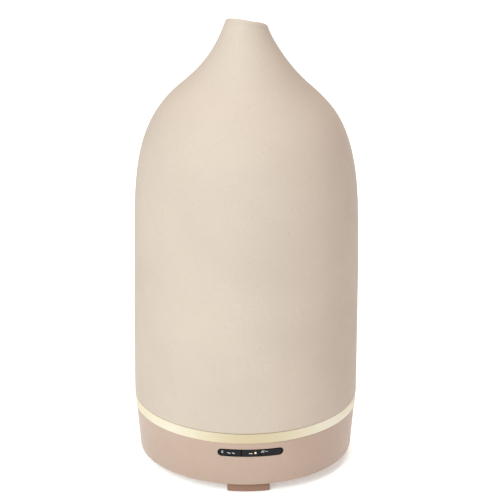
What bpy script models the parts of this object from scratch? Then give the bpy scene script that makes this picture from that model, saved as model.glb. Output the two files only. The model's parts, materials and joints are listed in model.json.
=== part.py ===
"""Essential oil diffuser: a ceramic cover over a water tank, on a short plastic base.

The drawing is in millimetres with +Z up, the front facing -Y, and the floor at z = 0. Every mesh is
scaled to Blender's metres as it is made. Touching pieces keep a gap of GAP.
"""
import bpy
import bmesh
from math import cos, pi, radians, sin, sqrt, tan
from mathutils import Matrix, Vector

MM = 0.001
GAP = 0.3

# Driving dimensions
BODY_R = 44.8             # cover radius at its lower edge
COVER_BORE = 41.5         # inside of that edge
FOOT_H = 4.0              # floor to the base's lower edge
BASE_TOP = 22.9           # upper edge of the base wall
BASE_TOP_R = 44.35
BASE_BOTTOM_R = 42.6      # the base tapers to this at its lower edge
COVER_BOTTOM = 26.9
COVER_WALL = 3.4
TIP_WALL = 2.2            # the wall thins to this at the mouth
TIP_Z = 182.0             # height of the mouth's middle, below its rounded lip
TIP_R = 8.45
TIP_TILT = radians(20.8)  # slant of the mouth
TIP_DOWNHILL = Vector((sin(radians(26)), cos(radians(26))))
TANK_R = 35.0             # outside of the tank wall
TANK_WALL = 2.0
TANK_RIM = 62.0
FLOOR_TOP = 24.0          # upper face of the tank's floor
FLOOR_UNDER = 22.0
NECK_TOP = 86.0           # the lid's neck, which holds the chimney
NECK_R = 9.9
CHIMNEY_TOP = 138.6
PLATE_Z = 4.3             # lower face of the bottom plate
PLATE_T = 2.0
PLATE_TOP = PLATE_Z + PLATE_T
PLATE_R = 41.2
POST_R = 28.5             # case screws, distance from the axis
KEY_Z = 18.5              # middle height of the key panel
PANEL_HALF = 13.4         # half the key panel's width
PANEL_H = 2.0             # half its height
PANEL_R = 44.3            # its face is this far from the axis, just proud of the wall
WINDOW_H = 1.7            # half height of the two key windows
KEY_H = 1.4               # half height of a key
BRIDGE_HALF = 3.5         # half width of the bridge between the windows
KEY_INNER = BRIDGE_HALF + GAP
KEY_OUTER = PANEL_HALF - 0.6
LENS_X = 1.9
FAN = Vector((-19.5, 0.0))
FAN_Z = 6.9
FAN_H = 7.0
BOARD_Z = 8.5
BOARD_T = 1.6
BOARD_TOP = BOARD_Z + BOARD_T
DUCT = Vector((-24.0, 0.0))
RETAINER_SCREW_R = 15.6
JACK_Z = 12.5
LED_BOARD_Z = 21.0
LED_BOARD_T = 0.8
LED_R = 40.2
ROUND = 40                # sides of the large outer pieces
INNER_ROUND = 32          # sides of the large inner pieces
SMALL_ROUND = 16          # sides of small round pieces
SCREW_ROUND = 8


# ---------------------------------------------------------------- helpers

def clear_scene():
    for item in list(bpy.data.objects):
        bpy.data.objects.remove(item, do_unlink=True)


def material(name, colour, roughness, metallic=0.0, alpha=1.0, glow=0.0):
    made = bpy.data.materials.new(name)
    made.use_nodes = True
    shader = made.node_tree.nodes["Principled BSDF"]
    shader.inputs["Base Color"].default_value = (*colour, 1.0)
    shader.inputs["Roughness"].default_value = roughness
    shader.inputs["Metallic"].default_value = metallic
    shader.inputs["Alpha"].default_value = alpha
    if glow:
        shader.inputs["Emission Color"].default_value = (*colour, 1.0)
        shader.inputs["Emission Strength"].default_value = glow
    made.diffuse_color = (*colour, 1.0)
    return made


def finish_mesh(name, mesh_data, look):
    """Turn a bmesh drawn in millimetres into an object in metres."""
    bmesh.ops.recalc_face_normals(mesh_data, faces=mesh_data.faces)
    bmesh.ops.scale(mesh_data, vec=(MM, MM, MM), verts=mesh_data.verts)
    mesh = bpy.data.meshes.new(name)
    mesh_data.to_mesh(mesh)
    mesh_data.free()
    mesh.shade_smooth()
    mesh.set_sharp_from_angle(angle=radians(32))
    if look:
        mesh.materials.append(look)
    item = bpy.data.objects.new(name, mesh)
    bpy.context.scene.collection.objects.link(item)
    return item


def turned(name, outline, look, sides=ROUND, centre=(0.0, 0.0)):
    """A closed outline of (radius, z) points turned about a vertical axis."""
    shape = bmesh.new()
    points = [shape.verts.new((r, 0.0, z)) for r, z in outline]
    edges = [shape.edges.new((a, b)) for a, b in zip(points, points[1:] + points[:1])
             if a.co.x > 0 or b.co.x > 0]
    bmesh.ops.spin(shape, geom=points + edges, cent=(0, 0, 0), axis=(0, 0, 1), angle=2 * pi,
                   steps=sides, use_merge=True)
    bmesh.ops.remove_doubles(shape, verts=shape.verts, dist=1e-4)
    flat_middles = [v for v in shape.verts if v.co.xy.length < 1e-4
                    and all(abs(e.other_vert(v).co.z - v.co.z) < 1e-5 for e in v.link_edges)]
    bmesh.ops.dissolve_verts(shape, verts=flat_middles)
    bmesh.ops.translate(shape, vec=(centre[0], centre[1], 0.0), verts=shape.verts)
    return finish_mesh(name, shape, look)


def pin(name, radius, low, high, look, centre=(0.0, 0.0), sides=SMALL_ROUND):
    shape = bmesh.new()
    place = Matrix.Translation((centre[0], centre[1], (low + high) / 2))
    bmesh.ops.create_cone(shape, cap_ends=True, segments=sides, radius1=radius, radius2=radius,
                          depth=high - low, matrix=place)
    return finish_mesh(name, shape, look)


def block(name, low, high, look, bevel=0.0):
    """A box between two corners, with its edges bevelled."""
    low, high = Vector(low), Vector(high)
    size = high - low
    shape = bmesh.new()
    bmesh.ops.create_cube(shape, size=1.0, matrix=Matrix.Diagonal((*size, 1.0)))
    if bevel:
        bmesh.ops.bevel(shape, geom=shape.edges, offset=bevel, segments=1, affect="EDGES")
    bmesh.ops.translate(shape, vec=(low + high) / 2, verts=shape.verts)
    return finish_mesh(name, shape, look)


def prism(name, outline, low, high, look):
    """A plan outline of (x, y) points extruded upwards."""
    shape = bmesh.new()
    base = shape.faces.new([shape.verts.new((x, y, low)) for x, y in outline])
    raised = bmesh.ops.extrude_face_region(shape, geom=[base])
    tops = [v for v in raised["geom"] if isinstance(v, bmesh.types.BMVert)]
    bmesh.ops.translate(shape, vec=(0, 0, high - low), verts=tops)
    return finish_mesh(name, shape, look)


def arc_outline(inner, outer, middle_deg, half_deg, corner=0.0, steps=8):
    """Plan outline of a ring sector; corner cuts its four corners at 45 degrees."""
    start, end = radians(middle_deg - half_deg), radians(middle_deg + half_deg)

    def run(radius, first, last):
        inset = corner / radius
        direction = 1 if last > first else -1
        a, b = first + direction * inset, last - direction * inset
        return [(radius * cos(a + (b - a) * i / steps), radius * sin(a + (b - a) * i / steps))
                for i in range(steps + 1)]

    def side(angle, radii):
        return [(radius * cos(angle), radius * sin(angle)) for radius in radii] if corner else []

    return (run(outer, start, end) + side(end, (outer - corner, inner + corner))
            + run(inner, end, start) + side(start, (inner + corner, outer - corner)))


def cylinder_along_y(name, radius, y_low, y_high, centre_x, centre_z, look, sides=SMALL_ROUND):
    shape = bmesh.new()
    turn = Matrix.Rotation(pi / 2, 4, "X")
    place = Matrix.Translation((centre_x, (y_low + y_high) / 2, centre_z))
    bmesh.ops.create_cone(shape, cap_ends=True, segments=sides, radius1=radius, radius2=radius,
                          depth=y_high - y_low, matrix=place @ turn)
    return finish_mesh(name, shape, look)


def use_as_cutter(item):
    item.hide_render = True
    item.display_type = "WIRE"


def boolean(target, tool, operation):
    use_as_cutter(tool)
    step = target.modifiers.new(operation.title(), "BOOLEAN")
    step.operation = operation
    step.object = tool


def cut(target, tool):
    boolean(target, tool, "DIFFERENCE")


def join(target, tool):
    boolean(target, tool, "UNION")


def lead(name, route, radius, look):
    """A round wire along a smooth curve through its route points."""
    count = 4
    ends = [2 * Vector(route[0]) - Vector(route[1])] + [Vector(p) for p in route]
    ends.append(2 * Vector(route[-1]) - Vector(route[-2]))
    points = []
    for i in range(1, len(ends) - 2):
        p0, p1, p2, p3 = ends[i - 1:i + 3]
        for k in range(count):
            t = k / count
            points.append(0.5 * (2 * p1 + (p2 - p0) * t + (2 * p0 - 5 * p1 + 4 * p2 - p3) * t ** 2
                                 + (3 * p1 - p0 - 3 * p2 + p3) * t ** 3))
    points.append(ends[-2])
    curve = bpy.data.curves.new(name, "CURVE")
    curve.dimensions = "3D"
    spline = curve.splines.new("POLY")
    spline.points.add(len(points) - 1)
    for slot, point in zip(spline.points, points):
        slot.co = (*(point * MM), 1.0)
    curve.bevel_depth = radius * MM
    curve.bevel_resolution = 1
    curve.use_fill_caps = True
    curve.materials.append(look)
    item = bpy.data.objects.new(name, curve)
    bpy.context.scene.collection.objects.link(item)
    return item


def bezier(a, b, c, d, steps):
    """Points on a cubic curve, without its first point."""
    a, b, c, d = Vector(a), Vector(b), Vector(c), Vector(d)
    found = []
    for i in range(1, steps + 1):
        t = i / steps
        u = 1 - t
        found.append(a * u ** 3 + b * (3 * u * u * t) + c * (3 * u * t * t) + d * t ** 3)
    return found


# ---------------------------------------------------------------- cover

SHOULDER = Vector((44.55, 102.5))    # where the wall starts to curve in
WALL_HANDLE = Vector((44.9, 84.0))   # sets the wall's slope there
WAIST = Vector((27.3, 154.7))        # where the shoulder turns into the neck
WAIST_LEAN = radians(46.6)           # the outline's lean from vertical there
TIP_LEAN = radians(20.8)
LIP_RISE = 2.05
LIP_ACROSS = 1.7                     # how far the lip curves in before its crest


def lean(angle):
    return Vector((-sin(angle), cos(angle)))


def cover_outline():
    """The cover's outer outline from its lower edge to the mouth, as (radius, z)."""
    tip = Vector((TIP_R, TIP_Z))
    low = Vector((BODY_R, COVER_BOTTOM + 0.4))
    wall = bezier(low, Vector((44.95, 50.0)), WALL_HANDLE, SHOULDER, 4)
    upwards = (SHOULDER - WALL_HANDLE).normalized()
    shoulder = bezier(SHOULDER, SHOULDER + 31.1 * upwards, WAIST - 15.85 * lean(WAIST_LEAN), WAIST, 8)
    neck = bezier(WAIST, WAIST + 8.45 * lean(WAIST_LEAN), tip - 14.2 * lean(TIP_LEAN), tip, 8)
    return [Vector((BODY_R - 0.4, COVER_BOTTOM)), low] + wall + shoulder + neck


def slope_at(outline, z):
    """How fast the outline's radius changes with height."""
    for a, b in zip(outline[-2::-1], outline[:0:-1]):
        if z >= a.y:
            return (b.x - a.x) / (b.y - a.y)
    return 0.0


def wall_at(z):
    """Thickness of the cover's wall at a height."""
    share = max((z - WAIST.y) / (TIP_Z - WAIST.y), 0.0)
    return COVER_WALL + (TIP_WALL - COVER_WALL) * share


def inside_of(outline):
    """The inner face: the outline moved in by the wall's thickness, square to itself."""
    moved = []
    for i, point in enumerate(outline):
        along = outline[min(i + 1, len(outline) - 1)] - outline[max(i - 1, 0)]
        normal = Vector((-along.y, along.x)).normalized()
        moved.append(point + normal * wall_at(point.y))
    return moved


def slant_mouth(shape, outline):
    """Slope the mouth down to the back right; each point slides along the neck's own surface."""
    start = TIP_Z - 14.0
    for vert in shape.verts:
        share = min(max((vert.co.z - start) / (TIP_Z - start), 0.0), 1.0)
        share = share * share * (3 - 2 * share)
        along = vert.co.x * TIP_DOWNHILL.x + vert.co.y * TIP_DOWNHILL.y
        drop = tan(TIP_TILT) * along * share
        if drop:
            radius = vert.co.xy.length
            scale = (radius - slope_at(outline, vert.co.z) * drop) / radius
            vert.co = (vert.co.x * scale, vert.co.y * scale, vert.co.z - drop)


def ceramic_cover(look):
    outer = cover_outline()
    inner = inside_of(outer[5:])[::-2]
    lip = [Vector((TIP_R - LIP_ACROSS * (1 - cos(a)), TIP_Z + LIP_RISE * sin(a)))
           for a in (radians(35), radians(65), radians(90))]
    lip.append(Vector((inner[0].x + 0.05, lip[-1].y - 0.4)))
    bore = [Vector((COVER_BORE, COVER_BOTTOM + 2)), Vector((COVER_BORE, COVER_BOTTOM))]
    outline = outer + lip + inner + bore
    shape = bmesh.new()
    points = [shape.verts.new((p.x, 0.0, p.y)) for p in outline]
    edges = [shape.edges.new((a, b)) for a, b in zip(points, points[1:] + points[:1])]
    bmesh.ops.spin(shape, geom=points + edges, cent=(0, 0, 0), axis=(0, 0, 1), angle=2 * pi,
                   steps=ROUND, use_merge=True)
    slant_mouth(shape, outer)
    return finish_mesh("ceramic_cover", shape, look)


# ---------------------------------------------------------------- tank and lid

def inner_lid(look):
    """Cap over the tank rim: skirt outside the wall and a domed top that rises to a neck."""
    skirt_low, seat = 56.0, TANK_RIM + GAP
    outline = [(TANK_R + 0.4, skirt_low), (36.9, skirt_low), (37.0, 64.0), (35.4, 67.2), (28.0, 73.0),
               (19.0, 78.2), (13.6, 81.6), (12.2, 84.0), (12.2, NECK_TOP), (NECK_R, NECK_TOP), (NECK_R, 83.2),
               (18.2, 76.6), (27.2, 71.4), (34.0, 66.2), (34.6, seat), (TANK_R + 0.4, seat)]
    return turned("inner_lid", outline, look, INNER_ROUND)


def mist_chimney(look):
    """Tube that plugs into the lid's neck and rests on it by its flange."""
    seat = NECK_TOP + GAP
    outline = [(8.0, 82.6), (9.5, 82.6), (9.5, seat), (11.6, seat), (11.6, seat + 1.0), (9.7, seat + 2.0),
               (9.3, CHIMNEY_TOP - 0.6), (9.0, CHIMNEY_TOP), (8.2, CHIMNEY_TOP), (8.0, CHIMNEY_TOP - 0.6)]
    return turned("mist_chimney", outline, look, INNER_ROUND)


def splash_guard(look):
    """Shallow cone under the chimney, hung on three legs that meet a ring inside the dome."""
    cone = turned("splash_guard", [(0, 70.0), (9.0, 66.4), (10.4, 66.4), (10.4, 67.4), (1.2, 71.6), (0, 71.6)],
                  look, 24)
    ring = turned("guard_ring_shape", [(12.2, 75.6), (14.6, 75.6), (13.8, 77.4), (12.2, 78.6)], None, 24)
    join(cone, ring)
    for i in range(3):
        leg = prism(f"guard_leg_{i + 1}", arc_outline(9.2, 13.6, 90 + 120 * i, 7, steps=2), 66.8, 76.6, None)
        join(cone, leg)
    return cone


def water_tank(look):
    """Tank wall and floor, flange, transducer seat and four screw posts, in one moulding."""
    inner = TANK_R - TANK_WALL
    outline = [(8.0, 21.9), (11.5, 21.9), (11.5, 19.2), (18.3, 19.2), (18.3, FLOOR_UNDER),
               (TANK_R, FLOOR_UNDER), (TANK_R, 26.1), (41.0, 26.1), (41.0, 27.6), (TANK_R, 27.6),
               (TANK_R, TANK_RIM - 0.4), (TANK_R - 0.4, TANK_RIM), (inner + 0.4, TANK_RIM),
               (inner, TANK_RIM - 0.4), (inner, 27.5), (inner - 1.0, 25.0), (inner - 3.5, FLOOR_TOP),
               (13.5, FLOOR_TOP), (12.5, 23.4), (8.0, 23.4)]
    tank = turned("water_tank", outline, look, INNER_ROUND)
    cut(tank, pin("duct_hole", 5.3, 20.0, 30.0, None, DUCT))
    for i, (x, y) in enumerate(post_places()):
        join(tank, pin(f"post_shape_{i + 1}", 2.9, PLATE_TOP + 1.8, 23.0, None, (x, y), 12))
        cut(tank, pin(f"post_bore_{i + 1}", 1.5, 7.0, 15.0, None, (x, y), 12))
    for i, place in enumerate(retainer_screw_places()):
        cut(tank, pin(f"retainer_bore_{i + 1}", 1.3, 18.6, 22.6, None, place, 12))
    return tank


def air_duct(look):
    """Tube through the tank's floor that carries the fan's air above the water."""
    outline = [(4.0, FLOOR_UNDER + 0.2), (5.0, FLOOR_UNDER + 0.2), (5.0, FLOOR_TOP + GAP), (5.9, FLOOR_TOP + GAP),
               (5.9, FLOOR_TOP + 1.2), (5.0, FLOOR_TOP + 2.0), (5.0, 54.0), (4.0, 54.0)]
    return turned("air_duct", outline, look, SMALL_ROUND, DUCT)


def air_duct_cap(look):
    """Hood over the duct: top disc with a skirt, open to the sides through its lower gap."""
    outline = [(0, 57.6), (5.6, 57.6), (6.2, 57.0), (6.2, 53.0), (5.5, 53.0), (5.5, 55.2), (4.6, 55.2),
               (4.6, 54.3), (3.9, 54.3), (3.9, 56.4), (0, 56.4)]
    hood = turned("air_duct_cap", outline, look, SMALL_ROUND, DUCT)
    window = block("hood_window", (DUCT.x + 1.0, -2.2, 52.0), (DUCT.x + 9.0, 2.2, 56.0), None)
    cut(hood, window)
    return hood


def post_places():
    reach = POST_R / sqrt(2)
    return [(reach, reach), (-reach, reach), (-reach, -reach), (reach, -reach)]


def retainer_screw_places():
    return [(RETAINER_SCREW_R * cos(radians(a)), RETAINER_SCREW_R * sin(radians(a))) for a in (7.5, 127.5, 247.5)]


def screw(name, place, head_low, head_r, head_h, shank_r, shank_end, look):
    """A pan-head screw on a vertical axis; the shank leads up or down from the head."""
    up = shank_end > head_low
    near = head_low + head_h if up else head_low
    far = head_low if up else head_low + head_h
    rim = far + (0.3 if up else -0.3)
    step = -0.6 if up else 0.6
    outline = [(0, far - step), (0.9, far - step), (0.9, far), (head_r - 0.3, far), (head_r, rim),
               (head_r, near), (shank_r, near), (shank_r, shank_end - (0.4 if up else -0.4)),
               (shank_r - 0.4, shank_end), (0, shank_end)]
    return turned(name, outline, look, SCREW_ROUND, place)


def transducer(disc_look, seal_look, plate_look, screw_look):
    pin("transducer_disc", 10.0, 20.5, 21.3, disc_look, sides=24)
    turned("transducer_seal", [(8.3, 19.6), (11.2, 19.6), (11.2, 21.6), (8.3, 21.6), (8.3, 21.45), (10.3, 21.45),
                               (10.3, 20.2), (8.3, 20.2)], seal_look, 24)
    plate = turned("transducer_retainer", [(7.0, 17.9), (18.0, 17.9), (18.0, 18.9), (7.0, 18.9)], plate_look, 24)
    for i, place in enumerate(retainer_screw_places()):
        cut(plate, pin(f"retainer_hole_{i + 1}", 1.3, 17.0, 20.0, None, place, 12))
        screw(f"retainer_screw_{i + 1}", place, 16.3, 2.0, 1.3, 1.0, 22.2, screw_look)


# ---------------------------------------------------------------- base

def base_wall_r(z):
    """Outer radius of the base wall at a height."""
    return BASE_BOTTOM_R + (BASE_TOP_R - BASE_BOTTOM_R) * (z - FOOT_H) / (BASE_TOP - FOOT_H)


def base_housing(look):
    rebate = PLATE_R + GAP
    outline = [(rebate, FOOT_H), (BASE_BOTTOM_R - 0.4, FOOT_H), (base_wall_r(4.4), 4.4),
               (base_wall_r(BASE_TOP - 0.4), BASE_TOP - 0.4), (BASE_TOP_R - 0.4, BASE_TOP), (42.6, BASE_TOP),
               (42.6, 20.7), (38.3, 20.7), (38.3, 19.9), (41.9, 19.9), (40.8, PLATE_TOP + GAP),
               (rebate, PLATE_TOP + GAP)]
    housing = turned("base_housing", outline, look)
    cut(housing, prism("ledge_notch", arc_outline(37.0, 42.2, 270, 24), 19.0, 21.5, None))
    cut(housing, panel_slab("panel_opening", -PANEL_HALF - GAP, PANEL_HALF + GAP, PANEL_H + GAP, 47.0, -36.5, None))
    cut(housing, cylinder_along_y("jack_opening", 4.6, 38.0, 47.0, 0.0, JACK_Z, None, 24))
    return housing


def foot_outline(angle, grow=0.0):
    return arc_outline(33.0 - grow, 40.4 + grow, angle, 12.4 + grow * 1.4, 1.0 + grow * 0.4)


FOOT_ANGLES = {"foot_front": 269, "foot_right": 29, "foot_left": 149}
FAN_SCREWS = [FAN + Vector((-12, -12)), FAN + Vector((12, 12))]
FAN_PADS = FAN_SCREWS + [FAN + Vector((-12, 12)), FAN + Vector((12, -12))]
BOARD_STANDS = [Vector((4, 12.5)), Vector((31, -12.5)), Vector((4, -12.5)), Vector((31, 12.5))]
BOARD_SCREWS = BOARD_STANDS[:2]


def bottom_plate(look):
    """Plate let into the base's lower edge: standoffs, fan pads, board guides and the air intake."""
    plate = turned("bottom_plate", [(0, PLATE_Z), (PLATE_R - 0.4, PLATE_Z), (PLATE_R, PLATE_Z + 0.4),
                                    (PLATE_R, PLATE_TOP), (0, PLATE_TOP)], look)
    for i, place in enumerate(post_places()):
        join(plate, pin(f"boss_{i + 1}", 4.2, 5.5, PLATE_TOP + 1.5, None, place, 12))
        cut(plate, pin(f"head_bore_{i + 1}", 2.8, 3.0, PLATE_TOP + 0.1, None, place, 12))
        cut(plate, pin(f"case_hole_{i + 1}", 1.5, 5.0, 9.0, None, place, 12))
    for i, place in enumerate(BOARD_STANDS):
        join(plate, pin(f"board_stand_{i + 1}", 2.3, 5.5, BOARD_Z - GAP, None, place, 12))
    for i, place in enumerate(FAN_PADS):
        join(plate, pin(f"fan_pad_{i + 1}", 2.4, 5.5, FAN_Z - GAP, None, place, 12))
    for i, place in enumerate(BOARD_SCREWS + FAN_SCREWS):
        cut(plate, pin(f"blind_hole_{i + 1}", 1.3, PLATE_Z + 0.7, 9.0, None, place, 12))
    for side in (-1, 1):
        xs = sorted((side * 12.8, side * 16.4))
        join(plate, block(f"guide_{side + 1}", (xs[0], -35.4, 5.5), (xs[1], -31.4, 14.0), None))
        groove = sorted((side * 12.0, side * 14.4))
        cut(plate, block(f"groove_{side + 1}", (groove[0], -34.2, PLATE_TOP + 0.4), (groove[1], -32.6, 15.0), None))
    for i in range(6):
        x = FAN.x - 10 + 4 * i
        cut(plate, block(f"intake_{i + 1}", (x - 1.0, -9.0, 3.0), (x + 1.0, 9.0, 7.0), None))
    for name, angle in FOOT_ANGLES.items():
        cut(plate, prism(name + "_recess", foot_outline(angle, GAP), 3.0, PLATE_Z + 0.8, None))
    return plate


def feet(look):
    for name, angle in FOOT_ANGLES.items():
        foot = prism(name, foot_outline(angle), 0.0, PLATE_Z + 0.5, look)
        rim = foot.modifiers.new("Bevel", "BEVEL")
        rim.width = 0.4 * MM
        rim.segments = 1
        rim.limit_method = "ANGLE"
        rim.angle_limit = radians(60)


def light_ring(look):
    """Light guide between base and cover, with a lip inside the base and a shelf for the gasket."""
    low, high, shelf = BASE_TOP + GAP, COVER_BOTTOM - GAP, 24.6
    outline = [(44.3, low), (44.6, low + 0.3), (44.7, high - 0.3), (44.4, high), (41.3, high), (41.3, shelf),
               (37.0, shelf), (37.0, low), (41.7, low), (41.7, 22.2), (42.3, 22.2), (42.3, low)]
    return turned("light_ring", outline, look)


def ring_gasket(look):
    return turned("ring_gasket", [(37.4, 24.9), (40.6, 24.9), (40.6, 25.8), (37.4, 25.8)], look, INNER_ROUND)


# ---------------------------------------------------------------- key panel

def panel_slab(name, x_low, x_high, half_h, front_r, back_y, look, round_low=True, round_high=True, crown=0.0):
    """A bar across the front: its face follows a cylinder of radius front_r, its back is flat.

    Its ends are half-round where asked; crown hollows the upper and lower edges back from the face.
    """
    def cap(round_end):
        if not round_end:
            return [(0.0, half_h)]
        return [(half_h * (1 - cos(a)), half_h * sin(a)) for a in (radians(18), radians(40), radians(65))] \
            + [(half_h, half_h)]

    low_end = [(x_low + dx, h) for dx, h in cap(round_low)]
    high_end = [(x_high - dx, h) for dx, h in cap(round_high)][::-1]
    span = high_end[0][0] - low_end[-1][0]
    steps = max(2, round(span / 3.0))
    middle = [(low_end[-1][0] + span * i / steps, half_h) for i in range(1, steps)]
    rows = []
    shape = bmesh.new()
    for x, h in low_end + middle + high_end:
        front = -sqrt(front_r ** 2 - x ** 2)
        ring = [(x, front, KEY_Z - h + crown), (x, front, KEY_Z + h - crown)]
        if crown:
            ring += [(x, front + crown, KEY_Z + h)]
        ring += [(x, back_y, KEY_Z + h), (x, back_y, KEY_Z - h)]
        if crown:
            ring += [(x, front + crown, KEY_Z - h)]
        rows.append([shape.verts.new(p) for p in ring])
    for a, b in zip(rows, rows[1:]):
        for i in range(len(a)):
            j = (i + 1) % len(a)
            shape.faces.new((a[i], a[j], b[j], b[i]))
    shape.faces.new(rows[0])
    shape.faces.new(rows[-1])
    return finish_mesh(name, shape, look)


def button_bezel(look):
    bezel = panel_slab("button_bezel", -PANEL_HALF, PANEL_HALF, PANEL_H, PANEL_R, -38.0, look)
    for side in (-1, 1):
        xs = sorted((side * 12.0, side * 15.2))
        join(bezel, block(f"bezel_tab_{side + 1}", (xs[0], -38.6, KEY_Z - 1.5), (xs[1], -37.4, KEY_Z + 1.5), None))
        ends = sorted((side * BRIDGE_HALF, side * (PANEL_HALF - GAP)))
        cut(bezel, panel_slab(f"key_window_{side + 1}", ends[0], ends[1], WINDOW_H, 48.0, -36.0, None,
                              round_low=side < 0, round_high=side > 0))
    cut(bezel, cylinder_along_y("lens_bore", 0.9, -48.0, -36.0, LENS_X, KEY_Z, None, 12))
    return bezel


def key(name, side, look):
    """A key with a curved face, a guided shank and a rear flange that pushes its plunger."""
    ends = sorted((side * KEY_INNER, side * KEY_OUTER))
    made = panel_slab(name, ends[0], ends[1], KEY_H, PANEL_R - 0.12, -37.4, look, round_low=side < 0,
                      round_high=side > 0, crown=0.2)
    flange = block(name + "_flange", (ends[0] + 0.8, -37.7, KEY_Z - 1.95), (ends[1] - 0.8, -37.2, KEY_Z + 1.95), None)
    join(made, flange)
    return made


def switch_x(side):
    return side * (KEY_INNER + KEY_OUTER) / 2


def switch(name, side, look, plunger_look):
    x = switch_x(side)
    body = block(name, (x - 2.2, -36.1, KEY_Z - 1.6), (x + 2.2, -34.2, KEY_Z + 1.6), look, 0.2)
    cut(body, cylinder_along_y(name + "_bore", 1.1, -37.0, -34.7, x, KEY_Z, None, 16))
    cylinder_along_y(name + "_plunger", 0.8, -36.9, -35.4, x, KEY_Z, plunger_look, 16)


def key_panel(looks):
    button_bezel(looks["black"])
    key("mist_button", -1, looks["black"])
    key("light_button", 1, looks["black"])
    cylinder_along_y("indicator_lens", 0.6, -PANEL_R, -37.6, LENS_X, KEY_Z, looks["amber"], 12)
    switch("mist_switch", -1, looks["dark"], looks["white"])
    switch("light_switch", 1, looks["dark"], looks["white"])
    block("switch_board", (-13.8, -33.9, PLATE_TOP + 0.8), (13.8, -32.9, 20.4), looks["board"])
    block("indicator_led", (LENS_X - 0.8, -35.1, KEY_Z - 0.6), (LENS_X + 0.8, -34.2, KEY_Z + 0.6), looks["white"])


# ---------------------------------------------------------------- electronics

def dc_jack(look):
    """Round inlet: body inside the wall, nose through it, socket with its centre pin."""
    body = block("dc_jack", (-4.6, 29.0, JACK_Z - 4.5), (4.6, 40.1, JACK_Z + 4.5), look, 0.4)
    join(body, cylinder_along_y("jack_nose", 4.2, 39.0, 43.1, 0.0, JACK_Z, None, 24))
    socket = cylinder_along_y("jack_socket", 2.75, 34.0, 44.0, 0.0, JACK_Z, None, 20)
    cut(body, socket)
    join(body, cylinder_along_y("jack_pin_shape", 1.0, 33.0, 41.9, 0.0, JACK_Z, None, 12))
    return body


def control_board(look):
    board = block("control_board", (0.0, -16.0, BOARD_Z), (35.0, 16.0, BOARD_TOP), look)
    for i, place in enumerate(BOARD_SCREWS):
        cut(board, pin(f"board_hole_{i + 1}", 1.3, 7.0, 12.0, None, place, 12))
    return board


def connector(name, x, y, look):
    """Wire housing on the board, hollowed from above."""
    low = BOARD_TOP + GAP
    body = block(name, (x - 3.0, y - 2.2, low), (x + 3.0, y + 2.2, low + 4.0), look)
    cut(body, block(name + "_hollow", (x - 2.3, y - 1.5, low + 2.6), (x + 2.3, y + 1.5, low + 5.0), None))


def board_parts(looks):
    top = BOARD_TOP + GAP
    connector("transducer_connector", 5.0, -5.5, looks["white"])
    connector("fan_connector", 4.5, 5.5, looks["white"])
    connector("led_connector", 30.5, 4.5, looks["white"])
    block("controller_chip", (9.5, -3.0, top), (17.5, 2.0, top + 1.6), looks["dark"], 0.2)
    block("driver_transistor", (15.0, -12.0, top), (21.5, -5.5, top + 2.4), looks["dark"], 0.2)
    turned("capacitor", [(0, top), (3.8, top), (4.0, top + 0.3), (4.0, top + 1.2), (3.8, top + 1.5),
                         (4.0, top + 1.8), (4.0, top + 7.6), (3.6, top + 8.0), (0, top + 8.0)],
           looks["metal"], SMALL_ROUND, (27.0, -4.5))
    turned("inductor", [(0, top), (4.5, top), (4.5, top + 1.0), (3.4, top + 1.0), (3.4, top + 4.2),
                        (4.5, top + 4.2), (4.5, top + 5.0), (0, top + 5.0)], looks["dark"], SMALL_ROUND, (19.0, 8.5))


def led_ring(looks):
    top = LED_BOARD_Z + LED_BOARD_T
    turned("led_board", [(38.4, LED_BOARD_Z), (42.1, LED_BOARD_Z), (42.1, top), (38.4, top)],
           looks["board"], INNER_ROUND)
    for i in range(4):
        prism(f"led_{i + 1}", arc_outline(LED_R - 1.2, LED_R + 1.2, 45 + 90 * i, 2.0, steps=1),
              top + GAP, top + GAP + 0.7, looks["glow"])


def fan(frame_look, rotor_look):
    top = FAN_Z + FAN_H
    frame = block("fan_housing", (FAN.x - 15, FAN.y - 15, FAN_Z), (FAN.x + 15, FAN.y + 15, top), frame_look, 0.8)
    cut(frame, pin("fan_bore", 13.9, FAN_Z + 1.2, top + 2, None, FAN, 32))
    for i in range(3):
        opening = prism(f"fan_air_{i + 1}", [(FAN.x + x, FAN.y + y) for x, y in
                                             arc_outline(7.6, 13.9, 30 + 120 * i, 52, steps=6)],
                        FAN_Z - 1, FAN_Z + 2, None)
        cut(frame, opening)
    cut(frame, pin("fan_bearing", 1.3, FAN_Z - 1, FAN_Z + 2, None, FAN, 12))
    for i, place in enumerate(FAN_SCREWS):
        cut(frame, pin(f"fan_hole_{i + 1}", 1.5, FAN_Z - 1, top + 1, None, place, 12))
    fan_rotor(rotor_look)


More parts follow.
